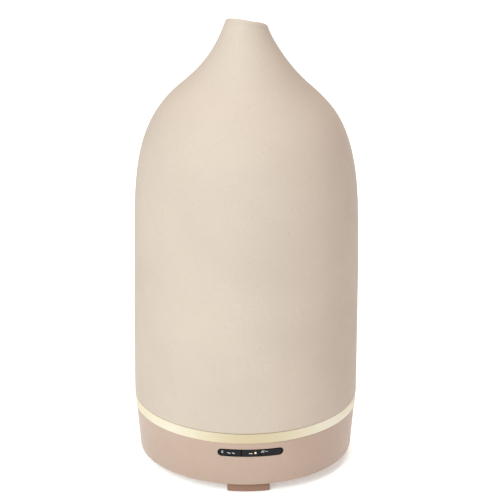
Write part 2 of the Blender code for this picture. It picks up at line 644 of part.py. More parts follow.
def fan_rotor(look):
    """Hub with seven pitched blades and a stub shaft; its origin is on the fan's axis."""
    hub_r, tip_r, low, high = 7.6, 13.2, FAN_Z + 1.9, FAN_Z + 6.2
    sides, pitch = 28, 0.24
    shape = bmesh.new()
    rings = [[shape.verts.new((hub_r * cos(2 * pi * i / sides), hub_r * sin(2 * pi * i / sides), z))
              for i in range(sides)] for z in (low, high)]
    walls = []
    for i in range(sides):
        j = (i + 1) % sides
        walls.append(shape.faces.new((rings[0][i], rings[0][j], rings[1][j], rings[1][i])))
    shape.faces.new(rings[1])
    shaft = [[shape.verts.new((r * cos(2 * pi * i / sides), r * sin(2 * pi * i / sides), z))
              for i in range(sides)] for r, z in ((1.0, low), (1.0, FAN_Z + 0.3))]
    for upper, lower in ((rings[0], shaft[0]), (shaft[0], shaft[1])):
        for i in range(sides):
            j = (i + 1) % sides
            shape.faces.new((upper[i], upper[j], lower[j], lower[i]))
    shape.faces.new(shaft[1])
    bmesh.ops.recalc_face_normals(shape, faces=shape.faces)
    blades = bmesh.ops.extrude_discrete_faces(shape, faces=walls[::4])["faces"]
    for face in blades:
        for vert in face.verts:
            angle = pitch if vert.co.z > (low + high) / 2 else -pitch
            angle *= 0.5
            spot = Vector((vert.co.x, vert.co.y)).normalized() * tip_r
            vert.co.x = spot.x * cos(angle) - spot.y * sin(angle)
            vert.co.y = spot.x * sin(angle) + spot.y * cos(angle)
            vert.co.z += 0.3 if vert.co.z < (low + high) / 2 else -0.3
    rotor = finish_mesh("fan_rotor", shape, look)
    rotor.location = (FAN.x * MM, FAN.y * MM, 0.0)
    return rotor


def wiring(red, white, black):
    """The leads between the pieces, each whole from end to end."""
    plug = BOARD_TOP + GAP + 2.6 + 0.9
    lead("transducer_lead", [(-3.0, 0.0, 20.1), (-2.6, -0.6, 18.0), (0.0, -2.6, 16.2), (3.4, -4.8, 15.9),
                             (5.0, -5.5, plug)], 0.6, red)
    lead("fan_lead", [(-3.8, 8.5, 11.6), (-2.4, 8.6, 12.8), (0.6, 7.6, 15.0), (3.4, 6.2, 15.6), (4.5, 5.5, plug)],
         0.6, black)
    lead("led_lead", [(37.9, 3.0, 21.4), (36.5, 3.1, 20.3), (34.6, 3.6, 17.7), (32.0, 4.2, 16.0),
                      (30.5, 4.5, plug)], 0.6, white)
    lead("jack_lead", [(1.5, 28.6, 12.5), (3.2, 25.0, 12.8), (7.5, 20.0, 13.4), (10.4, 14.0, 13.2),
                       (11.0, 11.5, BOARD_TOP + GAP)], 0.7, black)
    lead("switch_lead", [(4.0, -32.5, 12.0), (5.0, -29.5, 12.6), (8.0, -21.0, 13.6), (9.8, -14.0, 13.0),
                         (10.2, -11.0, BOARD_TOP + GAP)], 0.6, white)


def screws(look):
    for i, place in enumerate(post_places()):
        screw(f"case_screw_{i + 1}", place, PLATE_Z + 0.3, 2.4, 1.5, 1.1, 14.0, look)
    for i, place in enumerate(BOARD_SCREWS):
        screw(f"board_screw_{i + 1}", place, BOARD_TOP + GAP, 1.9, 1.2, 1.0, PLATE_Z + 1.2, look)
    for i, place in enumerate(FAN_SCREWS):
        screw(f"fan_screw_{i + 1}", place, FAN_Z + FAN_H + GAP, 2.0, 1.2, 1.0, PLATE_Z + 1.2, look)


# ---------------------------------------------------------------- assembly

def main():
    clear_scene()
    looks = {
        "ceramic": material("ceramic", (0.72, 0.63, 0.54), 0.55),
        "blush": material("blush_plastic", (0.58, 0.42, 0.35), 0.5),
        "ring": material("light_ring", (0.95, 0.87, 0.68), 0.4, glow=0.8),
        "black": material("gloss_black", (0.02, 0.02, 0.024), 0.12),
        "amber": material("amber_lens", (0.9, 0.5, 0.15), 0.25, glow=0.5),
        "frosted": material("frosted_plastic", (0.86, 0.88, 0.88), 0.4, alpha=0.6),
        "white": material("white_plastic", (0.85, 0.84, 0.8), 0.4),
        "dark": material("dark_plastic", (0.05, 0.05, 0.055), 0.45),
        "board": material("circuit_board", (0.03, 0.2, 0.09), 0.35),
        "metal": material("bright_metal", (0.7, 0.7, 0.72), 0.3, metallic=1.0),
        "brass": material("piezo_brass", (0.75, 0.58, 0.28), 0.3, metallic=1.0),
        "silicone": material("silicone", (0.78, 0.78, 0.76), 0.6),
        "foot": material("foot_rubber", (0.27, 0.15, 0.1), 0.8),
        "glow": material("led_emitter", (1.0, 0.9, 0.6), 0.4, glow=1.5),
        "red": material("red_wire", (0.55, 0.05, 0.04), 0.45),
        "wire": material("black_wire", (0.03, 0.03, 0.03), 0.45),
    }
    ceramic_cover(looks["ceramic"])
    inner_lid(looks["frosted"])
    mist_chimney(looks["frosted"])
    splash_guard(looks["frosted"])
    water_tank(looks["white"])
    air_duct(looks["white"])
    air_duct_cap(looks["white"])
    transducer(looks["brass"], looks["silicone"], looks["metal"], looks["metal"])
    light_ring(looks["ring"])
    ring_gasket(looks["silicone"])
    base_housing(looks["blush"])
    bottom_plate(looks["blush"])
    feet(looks["foot"])
    key_panel(looks)
    dc_jack(looks["dark"])
    control_board(looks["board"])
    board_parts(looks)
    led_ring(looks)
    fan(looks["dark"], looks["dark"])
    wiring(looks["red"], looks["white"], looks["wire"])
    screws(looks["metal"])


main()
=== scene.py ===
"""Looks of the essential oil diffuser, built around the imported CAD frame.

Profiles are written in millimetres as (radius, height) and scaled to the frame's metres when the mesh
is made. Places that belong to the frame are read from it.
"""
import bpy
import bmesh
import json
from math import atan2, cos, degrees, exp, pi, radians, sin, sqrt, tan
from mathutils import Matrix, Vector, noise


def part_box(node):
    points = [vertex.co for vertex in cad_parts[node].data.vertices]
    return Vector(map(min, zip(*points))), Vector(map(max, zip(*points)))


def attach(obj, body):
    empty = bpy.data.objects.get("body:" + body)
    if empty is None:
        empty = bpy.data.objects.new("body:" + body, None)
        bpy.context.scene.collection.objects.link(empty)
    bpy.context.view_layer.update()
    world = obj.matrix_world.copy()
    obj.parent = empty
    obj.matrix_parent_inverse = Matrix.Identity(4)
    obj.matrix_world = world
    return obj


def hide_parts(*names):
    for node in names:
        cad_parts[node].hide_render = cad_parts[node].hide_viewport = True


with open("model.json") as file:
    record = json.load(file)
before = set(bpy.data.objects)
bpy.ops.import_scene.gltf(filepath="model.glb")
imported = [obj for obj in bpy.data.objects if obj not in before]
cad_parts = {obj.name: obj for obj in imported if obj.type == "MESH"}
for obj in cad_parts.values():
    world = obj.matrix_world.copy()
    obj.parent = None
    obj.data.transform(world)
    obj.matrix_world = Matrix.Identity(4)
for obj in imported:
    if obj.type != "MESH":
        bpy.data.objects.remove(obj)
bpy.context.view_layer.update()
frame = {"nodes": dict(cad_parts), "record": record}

MM = 0.001
TINY = 0.004 * MM         # points closer than this are one point
FINE = 192                # sides of the large round pieces
MEDIUM = 96
SMALL = 32


# ---------------------------------------------------------------- frame measures, in millimetres

def node_box(name):
    low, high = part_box(name)
    return low / MM, high / MM


def node_centre(name):
    low, high = node_box(name)
    return (low + high) / 2


def axis_of(name):
    """Plan position of a node that stands round a vertical axis."""
    middle = node_centre(name)
    return Vector((middle.x, middle.y))


# ---------------------------------------------------------------- camera, floor and light

CAMERA_DISTANCE = 1.400
CAMERA_HEIGHT_ANGLE = radians(22.06)
CAMERA_TURN = radians(-2.8)
CAMERA_LENS = 252.2
TARGET_HEIGHT = 0.0875
TARGET_ASIDE = 0.00185


def make_camera():
    camera = bpy.data.objects.new("camera", bpy.data.cameras.new("camera"))
    bpy.context.scene.collection.objects.link(camera)
    aside = Vector((cos(CAMERA_TURN), sin(CAMERA_TURN), 0.0))
    target = Vector((0.0, 0.0, TARGET_HEIGHT)) + aside * TARGET_ASIDE
    back = Vector((sin(CAMERA_TURN) * cos(CAMERA_HEIGHT_ANGLE), -cos(CAMERA_TURN) * cos(CAMERA_HEIGHT_ANGLE),
                   sin(CAMERA_HEIGHT_ANGLE)))
    camera.location = target + back * CAMERA_DISTANCE
    camera.rotation_euler = (-back).to_track_quat("-Z", "Y").to_euler()
    camera.data.sensor_width = 36.0
    camera.data.lens = CAMERA_LENS
    camera.data.clip_end = 20.0
    bpy.context.scene.camera = camera


def area_light(name, place, size, power, colour=(1.0, 1.0, 1.0)):
    light = bpy.data.lights.new(name, "AREA")
    light.shape = "RECTANGLE"
    light.size, light.size_y = size
    light.energy = power
    light.color = colour
    item = bpy.data.objects.new(name, light)
    item.location = place
    item.rotation_euler = (Vector((0, 0, 0.09)) - Vector(place)).to_track_quat("-Z", "Y").to_euler()
    bpy.context.scene.collection.objects.link(item)


FLOOR_GLOW = 0.35        # evens out the shadow on the floor, as an over-lit studio sheet does


def make_stage():
    bpy.ops.mesh.primitive_plane_add(size=8.0, location=(0, 0, -0.0002))
    floor = bpy.context.object
    floor.name = "floor"
    pale = bpy.data.materials.new("floor_white")
    pale.use_nodes = True
    shader = pale.node_tree.nodes["Principled BSDF"]
    shader.inputs["Base Color"].default_value = (0.90, 0.90, 0.90, 1)
    shader.inputs["Roughness"].default_value = 0.85
    shader.inputs["Emission Color"].default_value = (1.0, 1.0, 1.0, 1)
    shader.inputs["Emission Strength"].default_value = FLOOR_GLOW
    floor.data.materials.append(pale)
    world = bpy.data.worlds.new("studio")
    bpy.context.scene.world = world
    world.use_nodes = True
    background = world.node_tree.nodes["Background"]
    background.inputs["Color"].default_value = (1.0, 0.93, 0.86, 1)
    background.inputs["Strength"].default_value = 0.60
    bpy.context.scene.view_settings.view_transform = "Standard"
    area_light("key_left", (-0.62, -0.95, 0.80), (0.5, 0.7), 16.0, (0.83, 0.97, 0.97))
    area_light("top", (0.12, 0.10, 1.3), (0.8, 0.8), 11.0, (1.0, 0.96, 0.92))


# ---------------------------------------------------------------- materials

class Recipe:
    """A Principled material with short helpers for its procedural nodes."""

    def __init__(self, name, colour, roughness, metallic=0.0):
        self.material = bpy.data.materials.new(name)
        self.material.use_nodes = True
        self.nodes = self.material.node_tree.nodes
        self.links = self.material.node_tree.links
        self.shader = self.nodes["Principled BSDF"]
        self.set("Base Color", (*colour, 1.0))
        self.set("Roughness", roughness)
        self.set("Metallic", metallic)
        self.place = self.nodes.new("ShaderNodeTexCoord").outputs["Object"]

    def set(self, socket, value):
        self.shader.inputs[socket].default_value = value

    def stretched(self, scale):
        mapping = self.nodes.new("ShaderNodeMapping")
        mapping.inputs["Scale"].default_value = scale
        self.links.new(self.place, mapping.inputs["Vector"])
        return mapping.outputs["Vector"]

    def noise(self, size_mm, detail=3.0, roughness=0.55, vector=None):
        node = self.nodes.new("ShaderNodeTexNoise")
        node.inputs["Scale"].default_value = 1000.0 / size_mm
        node.inputs["Detail"].default_value = detail
        node.inputs["Roughness"].default_value = roughness
        self.links.new(vector or self.place, node.inputs["Vector"])
        return node.outputs["Fac"]

    def span(self, factor, low, high, to_low=0.0, to_high=1.0):
        node = self.nodes.new("ShaderNodeMapRange")
        node.inputs["From Min"].default_value = low
        node.inputs["From Max"].default_value = high
        node.inputs["To Min"].default_value = to_low
        node.inputs["To Max"].default_value = to_high
        self.links.new(factor, node.inputs["Value"])
        return node.outputs["Result"]

    def math(self, operation, a, b):
        node = self.nodes.new("ShaderNodeMath")
        node.operation = operation
        for socket, value in zip(node.inputs, (a, b)):
            if isinstance(value, (int, float)):
                socket.default_value = value
            else:
                self.links.new(value, socket)
        return node.outputs["Value"]

    def mix(self, factor, a, b):
        node = self.nodes.new("ShaderNodeMix")
        node.data_type = "RGBA"
        self.links.new(factor, node.inputs["Factor"])
        for socket, value in ((node.inputs["A"], a), (node.inputs["B"], b)):
            if isinstance(value, tuple):
                socket.default_value = (*value, 1.0)
            else:
                self.links.new(value, socket)
        return node.outputs["Result"]

    def colour(self, socket):
        self.links.new(socket, self.shader.inputs["Base Color"])

    def roughness(self, socket):
        self.links.new(socket, self.shader.inputs["Roughness"])

    def bump(self, height, strength, depth_mm, before=None):
        node = self.nodes.new("ShaderNodeBump")
        node.inputs["Strength"].default_value = strength
        node.inputs["Distance"].default_value = depth_mm * MM
        self.links.new(height, node.inputs["Height"])
        if before:
            self.links.new(before, node.inputs["Normal"])
        self.links.new(node.outputs["Normal"], self.shader.inputs["Normal"])
        return node.outputs["Normal"]


def tinted(colour, share):
    return tuple(min(1.0, c * share) for c in colour)


def ceramic_look():
    clay = (0.428, 0.352, 0.300)
    look = Recipe("cover_ceramic", clay, 0.5)
    broad = look.span(look.noise(38.0, 2.0), 0.35, 0.65)
    fine = look.span(look.noise(1.1, 4.0, 0.65), 0.3, 0.7)
    tone = look.mix(broad, tinted(clay, 0.965), tinted(clay, 1.03))
    tone = look.mix(look.span(fine, 0.0, 1.0, 0.0, 0.5), tone, tinted(clay, 0.94))
    dark_specks = look.span(look.noise(0.6, 1.0, 0.4), 0.69, 0.75, 0.0, 0.4)
    tone = look.mix(dark_specks, tone, tinted(clay, 0.62))
    pale_specks = look.span(look.noise(0.9, 1.0, 0.4, look.stretched((1.0, 1.0, 1.13))), 0.73, 0.80, 0.0, 0.3)
    tone = look.mix(pale_specks, tone, tinted(clay, 1.35))
    look.colour(tone)
    look.roughness(look.span(look.noise(6.0, 4.0), 0.3, 0.7, 0.58, 0.74))
    throwing = look.noise(5.0, 2.0, 0.5, look.stretched((0.12, 0.12, 1.0)))
    first = look.bump(throwing, 0.25, 0.12)
    look.bump(look.noise(0.55, 3.0, 0.6), 0.35, 0.05, first)
    look.set("Specular IOR Level", 0.3)
    return look.material


def moulded_look(name, colour, roughness, grain_mm=0.35, grain_depth=0.02, variation=0.04):
    """Moulded plastic: spark-eroded grain, faint flow mottling and uneven sheen."""
    look = Recipe(name, colour, roughness)
    broad = look.span(look.noise(17.0, 3.0), 0.3, 0.7)
    tone = look.mix(broad, tinted(colour, 1.0 - variation), tinted(colour, 1.0 + variation))
    look.colour(tone)
    look.roughness(look.span(look.noise(2.4, 4.0), 0.3, 0.7, max(roughness - 0.06, 0.03), roughness + 0.06))
    look.bump(look.noise(grain_mm, 2.0, 0.5), 0.4, grain_depth)
    return look.material


def panel_look():
    """Black key plastic, satin, with a trace of handling in its gloss."""
    look = Recipe("black_panel", (0.007, 0.007, 0.009), 0.3)
    look.colour(look.mix(look.noise(4.0, 3.0), (0.006, 0.006, 0.008), (0.010, 0.010, 0.013)))
    look.roughness(look.span(look.noise(2.2, 5.0, 0.7), 0.35, 0.75, 0.24, 0.38))
    look.set("Specular IOR Level", 0.12)
    return look.material


def ring_look():
    """Diffusing ring: brighter and paler over each LED, warmer between them."""
    look = Recipe("ring_diffuser", (0.385, 0.315, 0.205), 0.38)
    glow = None
    for name in ("led_1", "led_2", "led_3", "led_4"):
        spot = node_centre(name) * MM
        gap = look.nodes.new("ShaderNodeVectorMath")
        gap.operation = "DISTANCE"
        gap.inputs[1].default_value = spot
        look.links.new(look.place, gap.inputs[0])
        near = look.span(gap.outputs["Value"], 0.004, 0.028, 1.0, 0.0)
        glow = near if glow is None else look.math("MAXIMUM", glow, near)
    mottled = look.math("ADD", glow, look.span(look.noise(6.0, 3.0), 0.3, 0.7, -0.06, 0.06))
    look.colour(look.mix(mottled, (0.385, 0.315, 0.205), (0.41, 0.36, 0.27)))
    colour = look.mix(mottled, (1.0, 0.86, 0.56), (1.0, 0.98, 0.90))
    look.links.new(colour, look.shader.inputs["Emission Color"])
    strength = look.span(mottled, 0.0, 1.0, 0.10, 0.26)
    look.links.new(strength, look.shader.inputs["Emission Strength"])
    look.set("Subsurface Weight", 0.3)
    look.set("Subsurface Scale", 0.003)
    look.bump(look.noise(0.4, 2.0), 0.25, 0.02)
    return look.material


def frosted_look(name, colour, alpha, clearness, roughness=0.42):
    """Milky polypropylene: partly see-through, with a fine etched grain."""
    look = Recipe(name, colour, roughness)
    look.set("Transmission Weight", clearness)
    look.set("Subsurface Weight", 0.2)
    look.set("Subsurface Scale", 0.004)
    look.set("IOR", 1.49)
    look.set("Alpha", alpha)
    look.colour(look.mix(look.noise(14.0, 3.0), tinted(colour, 0.95), tinted(colour, 1.03)))
    look.roughness(look.span(look.noise(1.8, 4.0), 0.3, 0.7, roughness - 0.08, roughness + 0.08))
    look.bump(look.noise(0.5, 2.0), 0.3, 0.02)
    return look.material


def metal_look(name, colour, roughness, brushed=(1.0, 1.0, 14.0)):
    look = Recipe(name, colour, roughness, 1.0)
    brush = look.noise(0.9, 3.0, 0.6, look.stretched(brushed))
    look.colour(look.mix(look.noise(5.0, 3.0), tinted(colour, 0.88), tinted(colour, 1.06)))
    look.roughness(look.span(brush, 0.3, 0.7, roughness - 0.08, roughness + 0.12))
    look.bump(brush, 0.2, 0.01)
    return look.material


def rubber_look(name, colour, roughness):
    look = Recipe(name, colour, roughness)
    look.colour(look.mix(look.noise(3.0, 5.0, 0.65), tinted(colour, 0.86), tinted(colour, 1.14)))
    look.roughness(look.span(look.noise(0.8, 3.0), 0.3, 0.7, roughness - 0.1, min(roughness + 0.1, 1.0)))
    look.bump(look.noise(0.3, 3.0, 0.6), 0.5, 0.03)
    look.set("Sheen Weight", 0.15)
    return look.material


def glowing_look(name, colour, glow, strength):
    look = Recipe(name, colour, 0.18)
    look.colour(look.mix(look.noise(0.7, 2.0), tinted(colour, 0.9), tinted(colour, 1.1)))
    lit = look.mix(look.noise(0.5, 2.0), tinted(glow, 0.85), glow)
    look.links.new(lit, look.shader.inputs["Emission Color"])
    look.set("Emission Strength", strength)
    look.set("Coat Weight", 0.4)
    return look.material


def board_look():
    """Lacquered laminate: woven glass showing through green, with faint copper runs."""
    look = Recipe("circuit_board", (0.02, 0.16, 0.07), 0.3)
    weave = look.nodes.new("ShaderNodeTexChecker")
    weave.inputs["Scale"].default_value = 1800.0
    weave.inputs["Color1"].default_value = (0.018, 0.145, 0.062, 1)
    weave.inputs["Color2"].default_value = (0.024, 0.175, 0.078, 1)
    look.links.new(look.place, weave.inputs["Vector"])
    runs = look.nodes.new("ShaderNodeTexBrick")
    runs.inputs["Scale"].default_value = 150.0
    runs.inputs["Mortar Size"].default_value = 0.045
    look.links.new(look.place, runs.inputs["Vector"])
    copper = look.mix(runs.outputs["Fac"], weave.outputs["Color"], (0.07, 0.30, 0.13))
    look.colour(copper)
    look.roughness(look.span(look.noise(1.5, 3.0), 0.3, 0.7, 0.22, 0.4))
    look.bump(runs.outputs["Fac"], 0.4, 0.03)
    look.set("Coat Weight", 0.35)
    return look.material


def make_looks():
    for plain in list(bpy.data.materials):
        bpy.data.materials.remove(plain)
    return {
        "cover_ceramic": ceramic_look(),
        "base_plastic": moulded_look("base_plastic", (0.345, 0.240, 0.192), 0.42, 0.35, 0.015, 0.03),
        "ring_diffuser": ring_look(),
        "black_panel": panel_look(),
        "amber_lens": glowing_look("amber_lens", (0.62, 0.42, 0.20), (1.0, 0.78, 0.46), 0.28),
        "frosted_plastic": frosted_look("frosted_plastic", (0.50, 0.55, 0.57), 0.86, 0.2),
        "white_plastic": frosted_look("white_plastic", (0.60, 0.61, 0.60), 1.0, 0.0, 0.34),
        "dark_plastic": moulded_look("dark_plastic", (0.035, 0.035, 0.038), 0.45, 0.4, 0.03, 0.12),
        "circuit_board": board_look(),
        "bright_metal": metal_look("bright_metal", (0.66, 0.66, 0.68), 0.3),
        "piezo_brass": metal_look("piezo_brass", (0.74, 0.55, 0.26), 0.28, (1.0, 9.0, 1.0)),
        "silicone": rubber_look("silicone", (0.66, 0.66, 0.64), 0.6),
        # the feet's darker brown is painted shade: the pads are the base's pink plastic, darkened for the
        # shade beneath the base
        "foot_rubber": rubber_look("foot_rubber", (0.235, 0.125, 0.085), 0.75),
        "legend_white": moulded_look("legend_white", (0.52, 0.53, 0.56), 0.4, 0.3, 0.005, 0.02),
        "led_emitter": glowing_look("led_emitter", (0.95, 0.82, 0.45), (1.0, 0.9, 0.66), 2.0),
        "red_wire": moulded_look("red_wire", (0.50, 0.035, 0.025), 0.4, 0.8, 0.02, 0.1),
        "white_wire": moulded_look("white_wire", (0.80, 0.79, 0.76), 0.4, 0.8, 0.02, 0.05),
        "black_wire": moulded_look("black_wire", (0.022, 0.022, 0.024), 0.4, 0.8, 0.02, 0.15),
    }


# ---------------------------------------------------------------- mesh helpers

def fillet(outline, radii, steps=5, closed=True):
    """Round the corners of an outline; radii maps a point's index to its radius, 0 leaves it sharp."""
    rounded = []
    count = len(outline)
    for i in range(count):
        point = Vector(outline[i])
        radius = radii.get(i, 0.0) if isinstance(radii, dict) else radii
        if radius <= 0 or (not closed and i in (0, count - 1)):
            rounded.append(point)
            continue
        to_last = Vector(outline[i - 1]) - point
        to_next = Vector(outline[(i + 1) % count]) - point
        half = to_last.angle(to_next) / 2
        reach = min(radius / tan(half), 0.48 * to_last.length, 0.48 * to_next.length)
        if half > radians(88):
            rounded.append(point)
            continue
        start, end = point + to_last.normalized() * reach, point + to_next.normalized() * reach
        for k in range(steps + 1):
            t = k / steps
            rounded.append(start * (1 - t) ** 2 + point * 2 * t * (1 - t) + end * t * t)
    return rounded


def bezier(a, b, c, d, steps):
    a, b, c, d = Vector(a), Vector(b), Vector(c), Vector(d)
    found = []
    for i in range(1, steps + 1):
        t = i / steps
        u = 1 - t
        found.append(a * u ** 3 + b * (3 * u * u * t) + c * (3 * u * t * t) + d * t ** 3)
    return found


def face_outwards(shape):
    shape.normal_update()
    bmesh.ops.recalc_face_normals(shape, faces=shape.faces)


PHASE = 0.37              # turned pieces start part of a step round, so Boolean tools never meet their edges


def turned_mesh(outline, sides, centre=(0.0, 0.0), phase=PHASE):
    """A closed (radius, z) outline turned about a vertical axis."""
    turns = [2 * pi * (i + phase) / sides for i in range(sides)]
    shape = bmesh.new()
    rings = []
    for r, z in outline:
        if r < 1e-4:
            rings.append([shape.verts.new((centre[0], centre[1], z))] * sides)
            continue
        rings.append([shape.verts.new((centre[0] + r * cos(a), centre[1] + r * sin(a), z)) for a in turns])
    for a, b in zip(rings, rings[1:] + rings[:1]):
        if a[0] is a[1] and b[0] is b[1]:
            continue
        for i in range(sides):
            j = (i + 1) % sides
            corners = list(dict.fromkeys((a[i], a[j], b[j], b[i])))
            shape.faces.new(corners)
    face_outwards(shape)
    return shape


def piece(name, shape, look, body, stands_for=(), sharp=35):
    """Make an object of a bmesh drawn in millimetres; it rides on a body and may replace CAD nodes."""
    bmesh.ops.scale(shape, vec=(MM, MM, MM), verts=shape.verts)
    mesh = bpy.data.meshes.new(name)
    shape.to_mesh(mesh)
    shape.free()
    mesh.shade_smooth()
    mesh.set_sharp_from_angle(angle=radians(sharp))
    item = bpy.data.objects.new(name, mesh)
    bpy.context.scene.collection.objects.link(item)
    if look:
        mesh.materials.append(look)
    if body:
        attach(item, body)
        for node in stands_for:
            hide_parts(node)
    return item


def blank(shape):
    """A working solid in millimetres scaled to metres, used as a Boolean tool and then removed."""
    return piece("tool", shape, None, None)


def carve(item, tools, operation="DIFFERENCE"):
    """Apply Boolean steps to an object's mesh and remove the tools."""
    for tool in tools:
        step = item.modifiers.new("carve", "BOOLEAN")
        step.operation = operation
        step.object = tool
        step.solver = "EXACT"
    bake(item)
    for tool in tools:
        bpy.data.objects.remove(tool)


def bake(item, sharp=35):
    """Apply an object's modifiers."""
    graph = bpy.context.evaluated_depsgraph_get()
    graph.update()
    made = bpy.data.meshes.new_from_object(item.evaluated_get(graph))
    shape = bmesh.new()
    shape.from_mesh(made)
    bmesh.ops.remove_doubles(shape, verts=shape.verts, dist=TINY)
    bmesh.ops.dissolve_degenerate(shape, edges=shape.edges, dist=TINY)
    shape.to_mesh(made)
    shape.free()
    item.modifiers.clear()
    item.data = made
    made.shade_smooth()
    made.set_sharp_from_angle(angle=radians(sharp))


def cylinder_mesh(radius, low, high, centre=(0.0, 0.0), sides=SMALL):
    return turned_mesh([(0, low), (radius, low), (radius, high), (0, high)], sides, centre, 0.11)


# ---------------------------------------------------------------- ceramic cover

BODY_R = 44.8
SHOULDER = Vector((44.55, 102.5))
WALL_HANDLE = Vector((44.9, 84.0))
WAIST = Vector((27.3, 154.7))
WAIST_LEAN = radians(46.6)
TIP = Vector((8.45, 182.0))
TIP_LEAN = radians(20.8)
TIP_TILT = radians(20.8)
TIP_DOWNHILL = Vector((sin(radians(26)), cos(radians(26))))
COVER_BORE = 41.5
COVER_WALL = 3.4
TIP_WALL = 2.2
LIP_RISE = 1.75
LIP_ACROSS = 1.9
SWAY = ((100.0, 45.0, 0.42), (154.0, 7.5, -0.42), (168.0, 10.0, 0.25))   # height, spread, shift to the right


def lean(angle):
    return Vector((-sin(angle), cos(angle)))


def wall_at(z):
    share = max((z - WAIST.y) / (TIP.y - WAIST.y), 0.0)
    return COVER_WALL + (TIP_WALL - COVER_WALL) * share


def inside_of(outline):
    moved = []
    for i, point in enumerate(outline):
        along = outline[min(i + 1, len(outline) - 1)] - outline[max(i - 1, 0)]
        moved.append(point + Vector((-along.y, along.x)).normalized() * wall_at(point.y))
    return moved


def cover_outlines():
    """Outer and inner outlines of the cover, both from the lower edge up to the mouth."""
    foot_z = node_box("ceramic_cover")[0].z + 0.35
    corner = [Vector((BODY_R - 0.35 + 0.35 * sin(a), foot_z + 0.35 - 0.35 * cos(a)))
              for a in (radians(d) for d in range(0, 91, 15))]
    wall = bezier(corner[-1], Vector((44.95, 50.0)), WALL_HANDLE, SHOULDER, 30)
    upwards = (SHOULDER - WALL_HANDLE).normalized()
    shoulder = bezier(SHOULDER, SHOULDER + 31.1 * upwards, WAIST - 15.85 * lean(WAIST_LEAN), WAIST, 40)
    neck = bezier(WAIST, WAIST + 8.45 * lean(WAIST_LEAN), TIP - 14.2 * lean(TIP_LEAN), TIP, 30)
    outer = corner + wall + shoulder + neck
    inner = inside_of(outer[len(corner) + 3:])
    bore = [Vector((COVER_BORE + wider, foot_z + rise)) for wider, rise in ((0.4, 0), (0, 0.4), (0, 5))]
    return outer, bore + inner


def slope_at(outline, z):
    """How fast the outline's radius changes with height."""
    for a, b in zip(outline[-2::-1], outline[:0:-1]):
        if z >= a.y:
            return (b.x - a.x) / (b.y - a.y)
    return 0.0


def slant_mouth(shape, outline):
    """Slope the mouth down to the back right; each point slides along the neck's own surface."""
    start = TIP.y - 14.0
    for vert in shape.verts:
        share = min(max((vert.co.z - start) / (TIP.y - start), 0.0), 1.0)
        share = share * share * (3 - 2 * share)
        along = vert.co.x * TIP_DOWNHILL.x + vert.co.y * TIP_DOWNHILL.y
        drop = tan(TIP_TILT) * along * share
        if drop:
            radius = vert.co.xy.length
            scale = (radius - slope_at(outline, vert.co.z) * drop) / radius
            vert.co = (vert.co.x * scale, vert.co.y * scale, vert.co.z - drop)


def hand_made(shape, depth):
    """Give the turned shape the slow swells and the slight sway of a hand-finished pot."""
    for vert in shape.verts:
        spot = vert.co * 0.028
        swell = noise.noise(spot) + 0.5 * noise.noise(spot * 2.3)
        height = min(max((vert.co.z - 40.0) / 60.0, 0.0), 1.0)
        flat = vert.co.xy
        if flat.length > 1:
            flat -= flat.normalized() * depth * height * swell
        sway = sum(shift * exp(-((vert.co.z - level) / spread) ** 2) for level, spread, shift in SWAY)
        vert.co.x, vert.co.y = flat.x + sway, flat.y


def ceramic_cover(look):
    outer, inner = cover_outlines()
    lip = [Vector((TIP.x - LIP_ACROSS * (1 - cos(a)), TIP.y + LIP_RISE * sin(a)))
           for a in (pi * i / 24 for i in range(1, 13))]
    crest, bore = lip[-1], inner[-1].x + 0.05
    lip += bezier(crest, crest - Vector((0.2, 0)), Vector((bore, crest.y - 0.2)),
                  Vector((bore, crest.y - 0.6)), 4)
    shape = turned_mesh([tuple(p) for p in outer + lip + inner[::-1]], FINE)
    slant_mouth(shape, outer)
    hand_made(shape, 0.12)
    piece("ceramic_cover_shell", shape, look, "cover", stands_for=["ceramic_cover"])


# ---------------------------------------------------------------- light ring and base wall

PANEL_HALF_W = 13.4
BASE_BOTTOM_R = 42.6
BASE_TOP_R = 44.35
GASKET_INNER_R = 37.4
GASKET_GROOVE = 0.25      # depth of the groove between the gasket's two beads


def wall_r(z):
    """Outer radius of the base wall at a height."""
    low, high = node_box("base_housing")
    return BASE_BOTTOM_R + (BASE_TOP_R - BASE_BOTTOM_R) * (z - low.z) / (high.z - low.z)


def light_ring(look):
    low, high = node_box("light_ring")
    under, shelf = low.z + 1.0, high.z - 2.0
    rim_under, rim_top = low.z + 0.75, high.z + 0.45
    outline = [(44.55, rim_under), (44.72, rim_top), (42.5, rim_top), (41.3, high.z), (41.3, shelf),
               (37.0, shelf), (37.0, under), (41.7, under), (41.7, low.z), (42.3, low.z), (42.5, rim_under)]
    radii = {0: 0.12, 1: 0.25, 3: 0.3, 4: 0.2, 5: 0.3, 6: 0.3, 8: 0.15, 9: 0.15}
    shape = turned_mesh(fillet(outline, radii), FINE)
    piece("light_ring_guide", shape, look, "base", stands_for=["light_ring"])


def ring_gasket(look):
    low, high = node_box("ring_gasket")
    beads = []
    for start, z, turn in ((high.x, low.z, -1), (GASKET_INNER_R, high.z, 1)):
        groove = z - turn * GASKET_GROOVE
        beads += [(start, z), (start + turn * 0.6, z), (start + turn * 1.0, groove),
                  (start + turn * 2.2, groove), (start + turn * 2.6, z)]
    shape = turned_mesh(fillet(beads, 0.15, 2), MEDIUM)
    piece("ring_gasket_seal", shape, look, "base", stands_for=["ring_gasket"])


